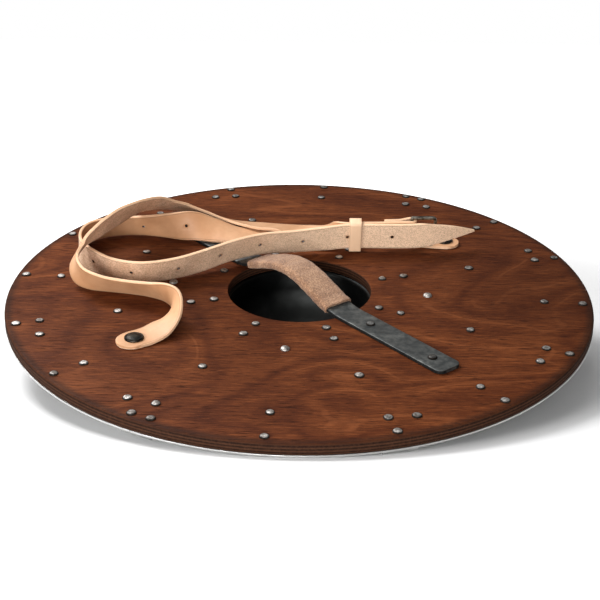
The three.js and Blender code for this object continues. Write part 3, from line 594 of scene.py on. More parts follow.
# %% Rivet shape
HEAD_RADIUS = 4.6 * MM
HEAD_RISE = 2.4 * MM
HEAD_FALL = 0.82
HEAD_FOOT = 0.1
FRONT_RISE = 2.6 * MM
SHANK_RADIUS = 2.4 * MM
RIVET_SIDES = 18
WOBBLE = 0.028
BLOWS = 4
BLOW_BEARINGS = (0.0, 6.28)
BLOW_LEVELS = (0.62, 0.90)
BLOW_SLOPES = (0.03, 0.22)
FRONT_SHARES = np.array([0.0, 0.35, 0.7, 0.92, 1.0])
BACK_SHARES = np.array([1.0, 0.97, 0.88, 0.72, 0.52, 0.28, 0.0])
chance = np.random.default_rng(7)


def rivet(spot, front_seat, back_seat, dull=0.0):
    """Rings from the middle of the front head, along the shank, to the middle of the back head.

    Front head: height = rise sqrt(1 - share^2). Back head: height = rise (1 - fall share^3), cut by
    planes height = level - slope . (x, y). The first of two drawn waves pushes the rim in and out.
    """
    turn = round_turn(RIVET_SIDES)
    shank = SHANK_RADIUS / HEAD_RADIUS
    share = np.concatenate([FRONT_SHARES, [shank, shank, 1.0], BACK_SHARES])[:, None]
    waves = chance.normal(0, 1, (2, 3)) @ np.stack([np.ones_like(turn), np.cos(2 * turn), np.sin(3 * turn)])
    around = np.stack([np.cos(turn), np.sin(turn)])[:, None]
    across, away = share * HEAD_RADIUS * (1 + WOBBLE * waves[0]) * around
    front = front_seat - FRONT_RISE * np.sqrt(1 - FRONT_SHARES ** 2)
    stem = np.concatenate([front, [front_seat, back_seat, back_seat]])[:, None] + turn * 0
    dome = HEAD_RISE * (1 - HEAD_FALL * BACK_SHARES[:, None] ** 3) + turn * 0
    top = len(BACK_SHARES)
    blows = [chance.uniform(*limits, BLOWS) for limits in (BLOW_BEARINGS, BLOW_LEVELS, BLOW_SLOPES)]
    for bearing, level, slope in zip(*blows):
        forward = across[-top:] * math.cos(bearing) + away[-top:] * math.sin(bearing)
        dome = np.minimum(dome, HEAD_RISE * level - slope * forward)
    height = np.concatenate([stem, back_seat + np.maximum(dome, HEAD_FOOT * HEAD_RISE)])
    return rows(spot[0] + across, spot[1] + away, height), False, True, {"foot_grime_and_shade": share, "dull": dull}


def placed(node):
    """A node's lowest and highest corners, and the middle between them."""
    low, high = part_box(node)
    return low, high, (low + high) / 2


own_rivets = [name for name in frame["nodes"]
              if name.startswith(("boss_rivet", "strap_inner_rivet", "strap_middle_rivet", "grip_rivet"))]
for name in own_rivets:
    low, high, spot = placed(name)
    sheet = rivet(spot, low.z + FRONT_RISE, high.z - HEAD_RISE, dull=float(name.startswith("grip")))
    skin("set_" + name, [sheet], bright, [name])
print(len(own_rivets), "single rivets")

# %% [markdown]
# ## Rim band
#
# The rim is a flat steel band in two halves on the front face, riveted through the board in pairs
# of circles. Only its edge shows from the back, as a thin bright line under the board. Each half
# is a flat ring's profile turned through half a turn, and its rivets are a second piece.

# %% Rim band and its rivets
RIM_WIDTH = 60 * MM
RIM_SHEET = 2.0 * MM
RIM_OVERHANG = 0.2 * MM
RIM_ROUND = 0.35 * MM
RIM_GAP = 0.8 * MM
RIM_STEPS = 128
RADIAL_BEARING = math.radians(27.97)
PAIR_BEARING = math.radians(5.63)
STEP_BEARING = math.pi / 4
JOINT_BEARING = RADIAL_BEARING + math.radians(1.05)
RIM_OUTER_SHARE = 0.175
RIM_INNER_SHARES = [0.745, 0.65, 0.82, 0.68, 0.835, 0.7, 0.8, 0.705]
FLARE_ROOT_SHARE = 0.55
FLARE_WING_SHARE = 0.49
FLARE_TIP_SHARE = 0.165
WING_SIDEWAYS_SHARES = [0.42, 0.4, 0.46, 0.42, 0.46, 0.49, 0.43, 0.4]
FLARE_TIP_SPACING = 10 * MM
BACK_SEAT = BOARD_BACK + SEAT_GAP
RIM_FRONT = BOARD_FRONT - SEAT_GAP - RIM_SHEET
RIM_SEAT = RIM_FRONT - SEAT_GAP
FLARE_SEAT = RIM_FRONT - 2 * SEAT_GAP - RIM_SHEET


def rim_place(bearing, share, sideways=0.0):
    """Bearings turn clockwise from +Y: (r sin b + s cos b, r cos b - s sin b)."""
    radius = BOARD_RADIUS - RIM_WIDTH * share
    return (
        radius * math.sin(bearing) + sideways * math.cos(bearing),
        radius * math.cos(bearing) - sideways * math.sin(bearing),
    )


def rim_rivet_spots():
    """Where each rivet of the rim is, as (spot, seat of its front head)."""
    spots = []
    for k, (inner, wing) in enumerate(zip(RIM_INNER_SHARES, WING_SIDEWAYS_SHARES)):
        flare = RADIAL_BEARING + STEP_BEARING * k
        pair = PAIR_BEARING + STEP_BEARING * k
        sideways = RIM_WIDTH * (wing if k % 2 == 0 else -wing)
        tips = (-FLARE_TIP_SPACING, FLARE_TIP_SPACING) if k % 4 == 0 else (0.0,)
        spots += [(rim_place(pair, share), RIM_SEAT) for share in (RIM_OUTER_SHARE, inner)]
        spots.append((rim_place(flare, FLARE_ROOT_SHARE), FLARE_SEAT))
        spots.append((rim_place(flare, FLARE_WING_SHARE, sideways), FLARE_SEAT))
        spots += [(rim_place(flare, FLARE_TIP_SHARE, tip), FLARE_SEAT) for tip in tips]
    return spots


rim_profile = plate_profile(
    BOARD_RADIUS - RIM_WIDTH, BOARD_RADIUS + RIM_OVERHANG, RIM_FRONT, RIM_FRONT + RIM_SHEET, (RIM_ROUND,) * 4)


def rim_half(side):
    """Half of the band: the profile turned from joint to joint, with a flat cap at each end."""
    joint = math.pi / 2 - JOINT_BEARING - math.pi * (1 - side)
    slack = RIM_GAP / 2 / BOARD_RADIUS
    grid = turned(rim_profile, np.linspace(joint + slack, joint + math.pi - slack, RIM_STEPS + 1))
    caps = [np.broadcast_to(grid[:, k].mean(axis=0), (len(grid), 1, 3)) for k in (0, -1)]
    return np.concatenate([caps[0], grid, caps[1]], axis=1)


def on_side(spot, side):
    """True where a spot lies on that side of the line from joint to joint."""
    beyond = spot[0] * math.cos(JOINT_BEARING) - spot[1] * math.sin(JOINT_BEARING)
    return (beyond > 0) == (side == 0)


for side in (0, 1):
    node = f"rim_half_{side + 1}"
    band = rim_half(side)
    # Marks the outer edge, which the steel makes lighter: partly wear, partly a painted highlight.
    outer = np.hypot(band[..., 0], band[..., 1]) > BOARD_RADIUS - RIM_ROUND
    skin(f"rim_band_{side + 1}", [(band, True, False, {"edge": outer})], steel, [node])
    mine = [rivet(spot, seat, BACK_SEAT) for spot, seat in rim_rivet_spots() if on_side(spot, side)]
    skin(f"rim_rivets_{side + 1}", mine, bright, [node])
    print(node, "has", len(mine), "rivets")

# %% [markdown]
# ## Radial straps and studs
#
# Eight narrow steel bars run from the boss to the rim on the front, and four low studs stand
# between them. The bars are flat plates, which the frame's own solids show well, so those stay and
# take the sheet steel. The studs are turned again with a finer round.

# %% Straps on the front, and studs
STUD_RIM_SHARE = 0.45
STUD_STEPS = 40

for k in range(1, 9):
    bar = frame["nodes"][f"radial_strap_{k}"].data
    bar.materials.clear()
    bar.materials.append(steel)


def stud_profile(low, high, radius):
    """A low cone with a flat top on the front, a shank, and a hammered head on the back."""
    seat = BOARD_FRONT - SEAT_GAP
    top = radius * STUD_RIM_SHARE
    return np.array([
        (0, low), (top * 0.85, low), (top, low + 0.25 * MM), (radius - 0.5 * MM, seat - 0.7 * MM),
        (radius, seat - 0.3 * MM), (radius, seat), (SHANK_RADIUS, seat), (SHANK_RADIUS, BACK_SEAT),
        (HEAD_RADIUS, BACK_SEAT), (HEAD_RADIUS * 0.97, BACK_SEAT + 0.35 * HEAD_RISE),
        (HEAD_RADIUS * 0.8, BACK_SEAT + 0.75 * HEAD_RISE), (HEAD_RADIUS * 0.45, high), (0, high),
    ])


for k in range(1, 5):
    node = f"front_stud_{k}"
    low, high, spot = placed(node)
    stud = turned(stud_profile(low.z, high.z, (high.x - low.x) / 2), round_turn(STUD_STEPS), spot)
    skin(f"stud_{k}", [(stud, False, True, {})], bright, [node])
print("8 radial straps and 4 studs")

# %% [markdown]
# ## Grip
#
# The grip is one flat forged iron bar, dark grey and darkest on its narrow sides, arched over the
# hand hole so that a fist fits under it. Its ends lie flat on the board and have rounded corners.
# The surface is a rounded rectangle carried along the bar's middle line.

# %% Grip iron
def forged_iron():
    """Dark grey with the forge's scale in its colour and relief, and darkest on the narrow sides."""
    finish = Finish("forged_iron")
    cloud = finish.noise(30.0, detail=4.0)
    scale = finish.noise(160.0, detail=4.0, roughness=0.6)
    side = finish.trait("rim").smooth(0.97, 1.0)
    color = finish.mix(scale.smooth(0.30, 0.72), paint(72, 75, 75), paint(112, 113, 110))
    color = color.toward(cloud.smooth(0.42, 0.70) * 0.6, paint(58, 60, 61))
    color = color.toward(side * 0.8, paint(24, 24, 24))
    return finish.done(
        Base_Color=color, Roughness=0.46 + scale * 0.10 + side * 0.2, Metallic=0.9,
        Normal=finish.relief((scale, 0.12 * MM), (cloud, 0.6 * MM)))


def rounded_loop(corner_steps, face_steps):
    """A rounded rectangle as four columns: what multiplies the flat half width, the corner's
    half width, the flat half height and the corner's half height, all round the loop."""
    flat = np.linspace(1, -1, face_steps + 1)[1:-1]
    parts = []
    for wide, high, start in ((1, 1, 0), (-1, 1, 90), (-1, -1, 180), (1, -1, 270)):
        angle = np.radians(np.linspace(start, start + 90, corner_steps + 1))
        parts.append(rows(wide, np.cos(angle), high, np.sin(angle)))
        if start in (0, 180):
            parts.append(rows(flat * wide, 0, high, high))
    return np.concatenate(parts)


def carried(middle, across, out, half_width, half_height, corner, loop):
    """Carries a rounded rectangle along a path of stations, with one half width for each or for all.

    Point = middle + across (a (w - c) + b c') + out (d (h - c) + e c), with c' = min(c, w), so that
    the corner narrows where the strip does.
    """
    wide, turn_x, high, turn_y = loop.T
    half_width = np.reshape(half_width, (-1, 1))
    narrow = np.minimum(corner, half_width)
    x = wide * (half_width - narrow) + turn_x * narrow
    y = high * (half_height - corner) + turn_y * corner
    x, y = np.broadcast_to(x, (len(middle), len(loop))), np.broadcast_to(y, (len(middle), len(loop)))
    return middle[:, None] + across[:, None] * x[..., None] + out[:, None] * y[..., None], x, y


def capped(grid, **marks):
    """Closes both ends of a strip of sections: each end section is drawn in to its own middle."""
    longer = lambda values: np.concatenate([values[:1], values, values[-1:]])
    closed = longer(grid)
    closed[[0, -1]] = grid[[0, -1]].mean(axis=1, keepdims=True)
    marks = {key: longer(np.broadcast_to(value, grid.shape[:2])) for key, value in marks.items()}
    return closed, False, True, marks


iron = forged_iron()
print("made", iron.name)

# %% Grip bar
GRIP_BEARING = PAIR_BEARING + 3 * STEP_BEARING
GRIP_HALF_LENGTH = BOARD_RADIUS - RIM_WIDTH - 18.4 * MM
GRIP_WIDTH = 29 * MM
GRIP_THICKNESS = 3.6 * MM
GRIP_CORNER = 7 * MM
GRIP_RISE = 21 * MM
GRIP_SHIFT = -8 * MM
GRIP_ARCH_HALF = HOLE_RADIUS + 14 * MM
GRIP_EDGE = 0.8 * MM
GRIP_STEPS = 181
UP = np.array([0, 0, 1.0])
grip_run = np.array([math.sin(GRIP_BEARING), math.cos(GRIP_BEARING), 0.0])
grip_side = np.array([-grip_run[1], grip_run[0], 0.0])


def grip_height(s):
    """Height of the bar's middle line: flat feet and one bow, rise cos^2 of the share of the way."""
    share = np.minimum(np.abs(s - GRIP_SHIFT) / GRIP_ARCH_HALF, 1)
    return BACK_SEAT + GRIP_THICKNESS / 2 + GRIP_RISE * np.cos(share * math.pi / 2) ** 2


def grip_bar():
    """The half width drops along a quarter circle at both ends, which rounds the corners."""
    reach = GRIP_HALF_LENGTH
    end = reach - GRIP_CORNER * (1 - np.cos(np.radians(np.linspace(0, 90, 9))))
    straight = np.linspace(-reach + GRIP_CORNER, reach - GRIP_CORNER, GRIP_STEPS)[1:-1]
    s = np.sort(np.concatenate([-end, straight, end]))
    into = np.clip(np.abs(s) - (reach - GRIP_CORNER), 0, GRIP_CORNER)
    half = GRIP_WIDTH / 2 - GRIP_CORNER + np.sqrt(np.maximum(GRIP_CORNER ** 2 - into ** 2, 0))
    height = grip_height(s)
    slope = np.gradient(height, s)[:, None]
    middle = s[:, None] * grip_run + height[:, None] * UP
    out = (UP - slope * grip_run) / np.sqrt(1 + slope ** 2)
    across = np.broadcast_to(grip_side, middle.shape)
    grid, x, _ = carried(middle, across, out, half, GRIP_THICKNESS / 2, GRIP_EDGE, rounded_loop(3, 8))
    return capped(grid, rim=np.abs(x) / half[:, None])


skin("iron_grip", [grip_bar()], iron, ["grip_bar"], sharp=50)
print("grip bar", round(2 * GRIP_HALF_LENGTH, 3), "m long")

# %% [markdown]
# ## Grip sleeve
#
# A piece of suede is wrapped round the arched part of the bar and sewn along its underside. It is
# tan and blotched from use. The tube follows the bar; soft wrinkles and the thickened wall at the
# two ends are in the surface itself, and the nap is in the material.

# %% Suede sleeve
SLEEVE_START = -67 * MM
SLEEVE_END = 61 * MM
SLEEVE_WALL = 2.0 * MM
SLEEVE_GAP = SEAT_GAP * 0.8
SLEEVE_CROWN = 1.4 * MM
SLEEVE_SQUARENESS = 0.4
SLEEVE_SIDES = 72
SLEEVE_STEPS = 96
WRINKLE_WIDE = 0.012
WRINKLE_HIGH = 0.05


def suede():
    """Tan with blotches, dark and light flecks, and a nap that catches a little light."""
    finish = Finish("sleeve_suede")
    cloud = finish.noise(55.0, detail=4.0, roughness=0.6)
    stain = finish.noise(120.0, detail=4.0, roughness=0.65)
    nap = finish.noise(2600.0, roughness=0.7)
    fleck = finish.noise(620.0, detail=4.0, roughness=0.75)
    color = finish.mix(cloud.smooth(0.30, 0.72), paint(132, 92, 63), paint(168, 127, 94))
    color = color.toward(stain.smooth(0.52, 0.78) * 0.4, paint(118, 82, 58))
    color = color.toward(fleck.smooth(0.47, 0.60) * 0.6, paint(86, 58, 40))
    color = color.toward((1 - fleck).smooth(0.52, 0.66) * 0.45, paint(206, 170, 138))
    return finish.done(
        Base_Color=color, Roughness=0.95, Sheen_Weight=0.15, Sheen_Roughness=0.6,
        Normal=finish.relief((nap, 0.22 * MM), (fleck, 0.5 * MM)))


def oval(angle, half_width, half_height):
    """A superellipse: sign(c) |c|^p times the half width, and the same with the sine."""
    c, s = np.cos(angle), np.sin(angle)
    return (np.sign(c) * np.abs(c) ** SLEEVE_SQUARENESS * half_width,
            np.sign(s) * np.abs(s) ** SLEEVE_SQUARENESS * half_height)


def grip_sleeve():
    """Rows go along the outside, round the end, back along the inside and round the other end.

    Wrinkle = sin(61 share + 2.2 sin turn) sin(23 share + 2 turn), with the share of the length.
    """
    length = SLEEVE_END - SLEEVE_START
    s = np.linspace(SLEEVE_START, SLEEVE_END, SLEEVE_STEPS + 1)
    lip = SLEEVE_WALL / 2
    bend = np.radians(np.linspace(-90, 90, 7)[1:-1])
    far = rows(SLEEVE_END + lip * np.cos(bend) * 0.6, SLEEVE_GAP + lip - lip * np.sin(bend))
    near = rows(SLEEVE_START - lip * np.cos(bend) * 0.6, SLEEVE_GAP + lip + lip * np.sin(bend))
    line = np.concatenate([rows(s, SLEEVE_WALL + SLEEVE_GAP), far, rows(s[::-1], SLEEVE_GAP), near])
    s, off = line.T[..., None]
    angle = round_turn(SLEEVE_SIDES) + math.pi / SLEEVE_SIDES
    x, y = oval(angle, GRIP_WIDTH / 2 + off, GRIP_THICKNESS / 2 + off)
    outer = np.clip((off - SLEEVE_GAP) / SLEEVE_WALL, 0, 1)
    wrinkle = np.sin(s / length * 61 + 2.2 * np.sin(angle)) * np.sin(s / length * 23 + angle * 2)
    x = x * (1 + outer * WRINKLE_WIDE * wrinkle)
    y = (y + outer * SLEEVE_CROWN * np.maximum(np.sin(angle), 0)) * (1 + outer * WRINKLE_HIGH * wrinkle)
    lean = np.arctan((grip_height(s + SEAT_GAP) - grip_height(s - SEAT_GAP)) / (2 * SEAT_GAP))
    along = s - y * np.sin(lean)
    up = grip_height(s) + y * np.cos(lean)
    return along[..., None] * grip_run + x[..., None] * grip_side + up[..., None] * UP, True, True, {}


skin("suede_sleeve", [grip_sleeve()], suede(), ["grip_sleeve"], sharp=70)
print("sleeve", round((SLEEVE_END - SLEEVE_START) / MM), "mm long")

# %% [markdown]
# ## Carrying straps
#
# Two leather straps are riveted to the board, stand mostly on edge, swap places in a loop at the
# left and meet in the buckle at the right. A strap is stiff across and soft along, so its shape is
# one route with a lean at each point. The tables repeat the frame's own routes:
# across and away as shares of the board, lean in degrees, and lift as a share of the strap's width.

# %% Strap routes
STRAP_WIDTH = 32 * MM
STRAP_THICKNESS = 3.3 * MM
BUCKLE_STRAP_SHARES = [
    [-0.565, -0.442, -90, 0], [-0.525, -0.3975, -90, 0], [-0.492, -0.375, -90, 0],
    [-0.455, -0.348, -86, 0.05], [-0.425, -0.303, -64, 0.05], [-0.410, -0.245, -22, 0.02],
    [-0.427, -0.188, 12, 0.01], [-0.464, -0.140, 32, 0.01], [-0.522, -0.108, 40, 0.01],
    [-0.590, -0.088, 41, 0.01], [-0.660, -0.070, 37, 0.01], [-0.726, -0.043, 22, 0.02],
    [-0.765, -0.005, -8, 0.20], [-0.765, 0.038, -32, 0.60], [-0.730, 0.074, -36, 1.00],
    [-0.688, 0.125, -30, 1.14], [-0.655, 0.190, -29, 1.16], [-0.622, 0.262, -34, 1.12],
    [-0.588, 0.338, -42, 1.07], [-0.548, 0.415, -50, 0.97], [-0.500, 0.490, -58, 0.70],
    [-0.430, 0.539, -58, 0.41], [-0.346, 0.542, -58, 0.15], [-0.250, 0.517, -67, 0.05],
    [-0.150, 0.488, -77, 0.09], [-0.060, 0.451, -80, 0.19], [0.015, 0.407, -104, 0.135],
    [0.075, 0.367, -125, 0.03], [0.125, 0.333, -170, 0.04], [0.170, 0.321, -194, 0.14],
    [0.215, 0.318, -194, 0.17], [0.280, 0.3185, -194, 0.18], [0.345, 0.3210, -194, 0.195],
    [0.405, 0.3235, -194, 0.195],
]
HOLE_STRAP_SHARES = [
    [0.588, 0.408, -90, 0], [0.535, 0.402, -90, 0], [0.450, 0.415, -90, 0],
    [0.340, 0.432, -90, 0], [0.220, 0.440, -90, 0.04], [0.100, 0.440, -90, 0.09],
    [-0.020, 0.432, -90, 0.09], [-0.130, 0.417, -88, 0.09], [-0.230, 0.402, -82, 0.13],
    [-0.310, 0.400, -61, 0.13], [-0.385, 0.400, -34, 0.13], [-0.460, 0.407, 2, 0.05],
    [-0.540, 0.421, 22, 0.01], [-0.632, 0.424, 30, 0.01], [-0.722, 0.400, 28, 0.01],
    [-0.778, 0.335, 18, 0.01], [-0.790, 0.245, 7, 0.01], [-0.765, 0.155, -4, 0.01],
    [-0.700, 0.082, -16, 0.01], [-0.625, 0.032, -24, 0.01], [-0.534, 0.017, -27, 0.01],
    [-0.432, 0.050, -25, 0.01], [-0.335, 0.103, -22, 0.07], [-0.238, 0.168, -24, 0.17],
    [-0.137, 0.228, -24, 0.17], [-0.020, 0.268, -21, 0.10], [0.090, 0.289, -16, 0.12],
    [0.150, 0.297, -14, 0.16], [0.205, 0.302, -14, 0.17], [0.305, 0.303, -14, 0.165],
    [0.395, 0.306, -14, 0.165], [0.480, 0.316, -13, 0.18], [0.560, 0.342, -11, 0.17],
    [0.640, 0.380, -10, 0.10],
]
FINE_STEPS = 24


def between(table, at):
    """Cubic stretches between rows: each leaves and arrives along the line of its neighbours."""
    last = len(table) - 1
    i = np.clip(np.floor(at).astype(int), 0, last - 1)
    f = (at - i)[:, None]
    before, a, b, after = (table[np.clip(i + k, 0, last)] for k in (-1, 0, 1, 2))
    leave, arrive = (b - before) / 2, (after - a) / 2
    return ((2 * f ** 3 - 3 * f ** 2 + 1) * a + (f ** 3 - 2 * f ** 2 + f) * leave
            + (3 * f ** 2 - 2 * f ** 3) * b + (f ** 3 - f ** 2) * arrive)


def unit(vectors):
    return vectors / np.linalg.norm(vectors, axis=-1, keepdims=True)


class Route:
    """A strap's middle line, with its forward, across and out directions at any distance."""

    def __init__(self, shares):
        x, y, lean, lift = np.array(shares).T
        turn = np.radians(lean)
        tall = STRAP_WIDTH * np.abs(np.cos(turn)) + STRAP_THICKNESS * np.abs(np.sin(turn))
        table = rows(x * BOARD_RADIUS, y * BOARD_RADIUS, BACK_SEAT + tall / 2 + lift * STRAP_WIDTH, lean)
        self.fine = between(table, np.arange((len(table) - 1) * FINE_STEPS + 1) / FINE_STEPS)
        hop = np.linalg.norm(np.diff(self.fine[:, :3], axis=0), axis=1)
        self.lengths = np.concatenate([[0.0], np.cumsum(hop)])
        self.total = self.lengths[-1]
        last = len(self.fine) - 1
        index = np.arange(last + 1)
        after, before = (self.fine[np.clip(index + hops, 0, last), :3] for hops in (2, -2))
        self.ahead = unit(after - before)

    def at(self, distance):
        """Middle, forward, across and out: across = up cos lean + left sin lean, out = forward x across."""
        d = np.clip(np.atleast_1d(distance), 0, self.total)
        read = lambda table: np.stack([np.interp(d, self.lengths, column) for column in table.T], axis=-1)
        row = read(self.fine)
        forward = unit(read(self.ahead))
        left = np.cross(UP, unit(forward * [1, 1, 0]))
        lean = np.radians(row[:, 3:])
        across = np.cos(lean) * UP + np.sin(lean) * left
        return row[:, :3], forward, across, unit(np.cross(forward, across))


buckle_route = Route(BUCKLE_STRAP_SHARES)
hole_route = Route(HOLE_STRAP_SHARES)
print("routes are", round(buckle_route.total, 4), "and", round(hole_route.total, 4), "m long")

# %% [markdown]
# ### Leather
#
# One vegetable-tanned hide makes both straps and the keeper. Each mesh point carries how far it is
# along the strap, how far across, and which side it is on, so one finish can be smooth and peach
# on the grain side, fibrous and specked on the flesh side, and pale at the cut edges, with a thin
# darker line beside them. The pointed strap's last stretch and the keeper are made paler with
# painted light, and the hole walls are darkened with painted shade.

# %% Strap leather
SIDES_APART = 4 * MM


def strap_leather():
    """Two skins, smooth and rough, mixed by the side, then specks, edge lines, painted light where the strap
    is paler, and hole walls darkened with painted shade.
    """
    finish = Finish("strap_leather")
    side = finish.trait("side")
    along = finish.trait("along")
    across = finish.trait("across")
    flesh = side.smooth(0.15, 0.75)
    margin = finish.math("ABSOLUTE", across)
    where = finish.node("CombineXYZ", {0: along, 1: across * (STRAP_WIDTH / 2), 2: side * SIDES_APART})
    broad = finish.noise(22.0, where, detail=4.0, roughness=0.6)
    patch = finish.noise(48.0, where, detail=5.0, roughness=0.68)
    grain = finish.noise(1500.0, where, detail=2.0)
    fuzz = finish.noise(1.0, finish.stretched((420.0, 1300.0, 900.0), where), detail=5.0, roughness=0.75)
    speck = finish.noise(900.0, where, detail=4.0, roughness=0.8)
    smooth_skin = finish.mix(broad.smooth(0.3, 0.75), paint(188, 138, 98), paint(210, 162, 122))
    smooth_skin = smooth_skin.toward(patch.smooth(0.58, 0.80) * 0.3, paint(168, 114, 76))
    rough_skin = finish.mix(patch.smooth(0.32, 0.70), paint(202, 158, 124), paint(234, 194, 160))
    rough_skin = rough_skin.toward(broad.smooth(0.52, 0.70) * 0.5, paint(150, 122, 102))
    rough_skin = rough_skin.toward(fuzz.smooth(0.42, 0.78) * 0.5, paint(244, 218, 192))
    color = finish.mix(flesh, smooth_skin, rough_skin)
    # Painted light: the pointed strap towards its tip, and the keeper, are made paler where the front light
    # falls on them.
    color = color.toward(finish.trait("painted_light") * 0.66, paint(252, 216, 180))
    color = color.toward(speck.smooth(0.46, 0.60) * flesh * 0.45, paint(124, 92, 70))
    color = color.toward((1 - speck).smooth(0.50, 0.62) * flesh * 0.4, paint(250, 222, 194))
    # A thin darker band beside each cut edge.
    line = margin.smooth(0.84, 0.90) * (1 - margin.smooth(0.93, 0.96))
    color = color.toward(line * 0.32, paint(112, 78, 56))
    color = color.toward(margin.smooth(0.95, 0.995) * 0.55, paint(238, 198, 160))
    # Hole walls are darkened: painted shade inside the holes.
    return finish.done(
        Base_Color=color.toward(finish.trait("painted_hole_shade"), paint(58, 36, 24)),
        Roughness=0.46 + flesh * 0.42 + patch * 0.08,
        Normal=finish.relief((grain * (1 - flesh) * 0.25 + fuzz * flesh, 0.5 * MM), (patch, 0.8 * MM)))


leather = strap_leather()
EDGE_ROUND = 0.9 * MM
END_ROUND = STRAP_WIDTH / 2
END_STEPS = 12
END_LEAST = 0.02
STATION = 3 * MM
loop = rounded_loop(3, 10)


def ribbon(path, half_width, distance, painted_light):
    """A strap: the rounded rectangle carried along a path, with its place written on each point."""
    grid, x, y = carried(*path, half_width, STRAP_THICKNESS / 2, EDGE_ROUND, loop)
    marks = {"along": distance[:, None], "painted_light": painted_light[:, None]}
    return capped(grid, across=x / (STRAP_WIDTH / 2), side=y / (STRAP_THICKNESS / 2), **marks)


def round_end(distance):
    """The riveted end is a half circle: the share of the full width at a distance from it."""
    gone = np.clip((END_ROUND - distance) / END_ROUND, 0, 1)
    return np.maximum(np.sqrt(1 - gone ** 2), END_LEAST)


def stations(total):
    """Close together in the round end, then evenly spaced."""
    start = END_ROUND * (1 - np.cos(np.radians(np.linspace(0, 90, END_STEPS + 1))))
    count = round((total - END_ROUND) / STATION)
    return np.concatenate([start, np.linspace(END_ROUND, total, count + 1)[1:]])


print("made", leather.name)

# %% [markdown]
# ### Punched holes
#
# Holes are punched after the strap is made: a row of round cutters stands square to the strap, and
# a Boolean takes them away. It is applied at once, so the piece is a plain mesh. The faces that
# the cutters leave are found by their place and marked, so that the leather can be darkened there
# with painted shade.

# %% Punches
STRAP_HOLE_RADIUS = 1.7 * MM
HOLE_SIDES = 20


def wall_faces(centres, normals, low, high):
    """True for faces inside the prism between two equal convex rings that stand along its axis."""
    axis = unit(high.mean(axis=0) - low.mean(axis=0))
    inward = np.cross(axis, np.roll(low, -1, axis=0) - low)
    inward = unit(inward) * np.sign(np.sum(inward * (low.mean(axis=0) - low), axis=1))[:, None]
    depth = centres @ inward.T - np.sum(low * inward, axis=1)
    return (depth > -0.1 * MM).all(axis=1) & (np.abs(normals @ axis) < 0.5)


def punched(name, sheet, punches, replaces):
    """A leather piece with holes: the cutters are grids too, and leave their own traits on the walls."""
    strap = skin(name, [sheet], leather, replaces)
    cutter = add(name + "_punch", shape(name + "_punch", punches))
    change = strap.modifiers.new("punch", "BOOLEAN")
    change.object = cutter
    change.operation = "DIFFERENCE"
    change.solver = "EXACT"
    view = bpy.context.evaluated_depsgraph_get()
    cut = bpy.data.meshes.new_from_object(strap.evaluated_get(view))
    strap.modifiers.clear()
    strap.data = cut
    bpy.data.objects.remove(cutter)
    shaded_hole_walls = np.zeros(len(cut.polygons), dtype=np.float32)
    centres = np.array([face.center for face in cut.polygons])
    normals = np.array([face.normal for face in cut.polygons])
    for grid, *_ in punches:
        shaded_hole_walls[wall_faces(centres, normals, grid[1], grid[2])] = 1
    cut.attributes.new("painted_hole_shade", "FLOAT", "FACE").data.foreach_set("value", shaded_hole_walls)
    cut.shade_smooth()
    cut.set_sharp_from_angle(angle=math.radians(40))


def punch(middle, ring, out, reach, along=0.0):
    """A cutter along the out direction: the ring at both ends, drawn in to the middle."""
    ends = middle - out * reach, middle + out * reach
    grid = np.stack([ends[0] + ring * 0, ends[0] + ring, ends[1] + ring, ends[1] + ring * 0])
    return grid, False, True, {"along": along, "across": 0.0, "side": 0.3}


def round_punch(middle, out, along):
    """Ring = radius (cos turn first + sin turn second), where both stand square to out."""
    turn = round_turn(HOLE_SIDES)[:, None]
    first = unit(np.cross(out, [0.3, 0.5, 0.9]))
    ring = STRAP_HOLE_RADIUS * (np.cos(turn) * first + np.sin(turn) * np.cross(out, first))
    return punch(middle, ring, out, STRAP_THICKNESS, along)


print("punches are ready")

# %% Hole strap
TIP_LENGTH = 66 * MM
TIP_POWER = 1.25
TIP_LOSS = 0.94
HOLE_COUNT = 12
HOLE_PITCH = 49 * MM
HOLE_FROM_TIP = 96 * MM
PAINTED_LIGHT_FROM = 0.42
PAINTED_LIGHT_LENGTH = 0.30


def hole_strap():
    """Its width is a half circle at the riveted end, and falls by (share of the tip)^power at the tip."""
    total = hole_route.total
    d = stations(total)
    gone = np.clip((d - (total - TIP_LENGTH)) / TIP_LENGTH, 0, 1)
    half = STRAP_WIDTH / 2 * np.minimum(round_end(d), 1 - TIP_LOSS * gone ** TIP_POWER)
    middle, _, across, out = hole_route.at(d)
    centres = total - HOLE_FROM_TIP - HOLE_PITCH * np.arange(HOLE_COUNT)
    spots, _, _, axes = hole_route.at(centres)
    punches = [round_punch(*facts) for facts in zip(spots, axes, centres)]
    # Painted light grows over the strap's last stretch towards its tip.
    painted_light = np.clip((d - total + PAINTED_LIGHT_FROM) / PAINTED_LIGHT_LENGTH, 0, 1)
    punched("pointed_strap", ribbon((middle, across, out), half, d, painted_light), punches, ["hole_strap"])


hole_strap()
print("hole strap with", HOLE_COUNT, "holes")

# %% [markdown]
# ### Buckle strap
#
# The second strap turns round the buckle's hinge bar and comes back as a short tail, held by a
# small rivet. Three paths in a row make it: the route, a half turn about the bar, and the tail,
# which eases down on to the strap. An oblong slot through the turn lets the prong out.

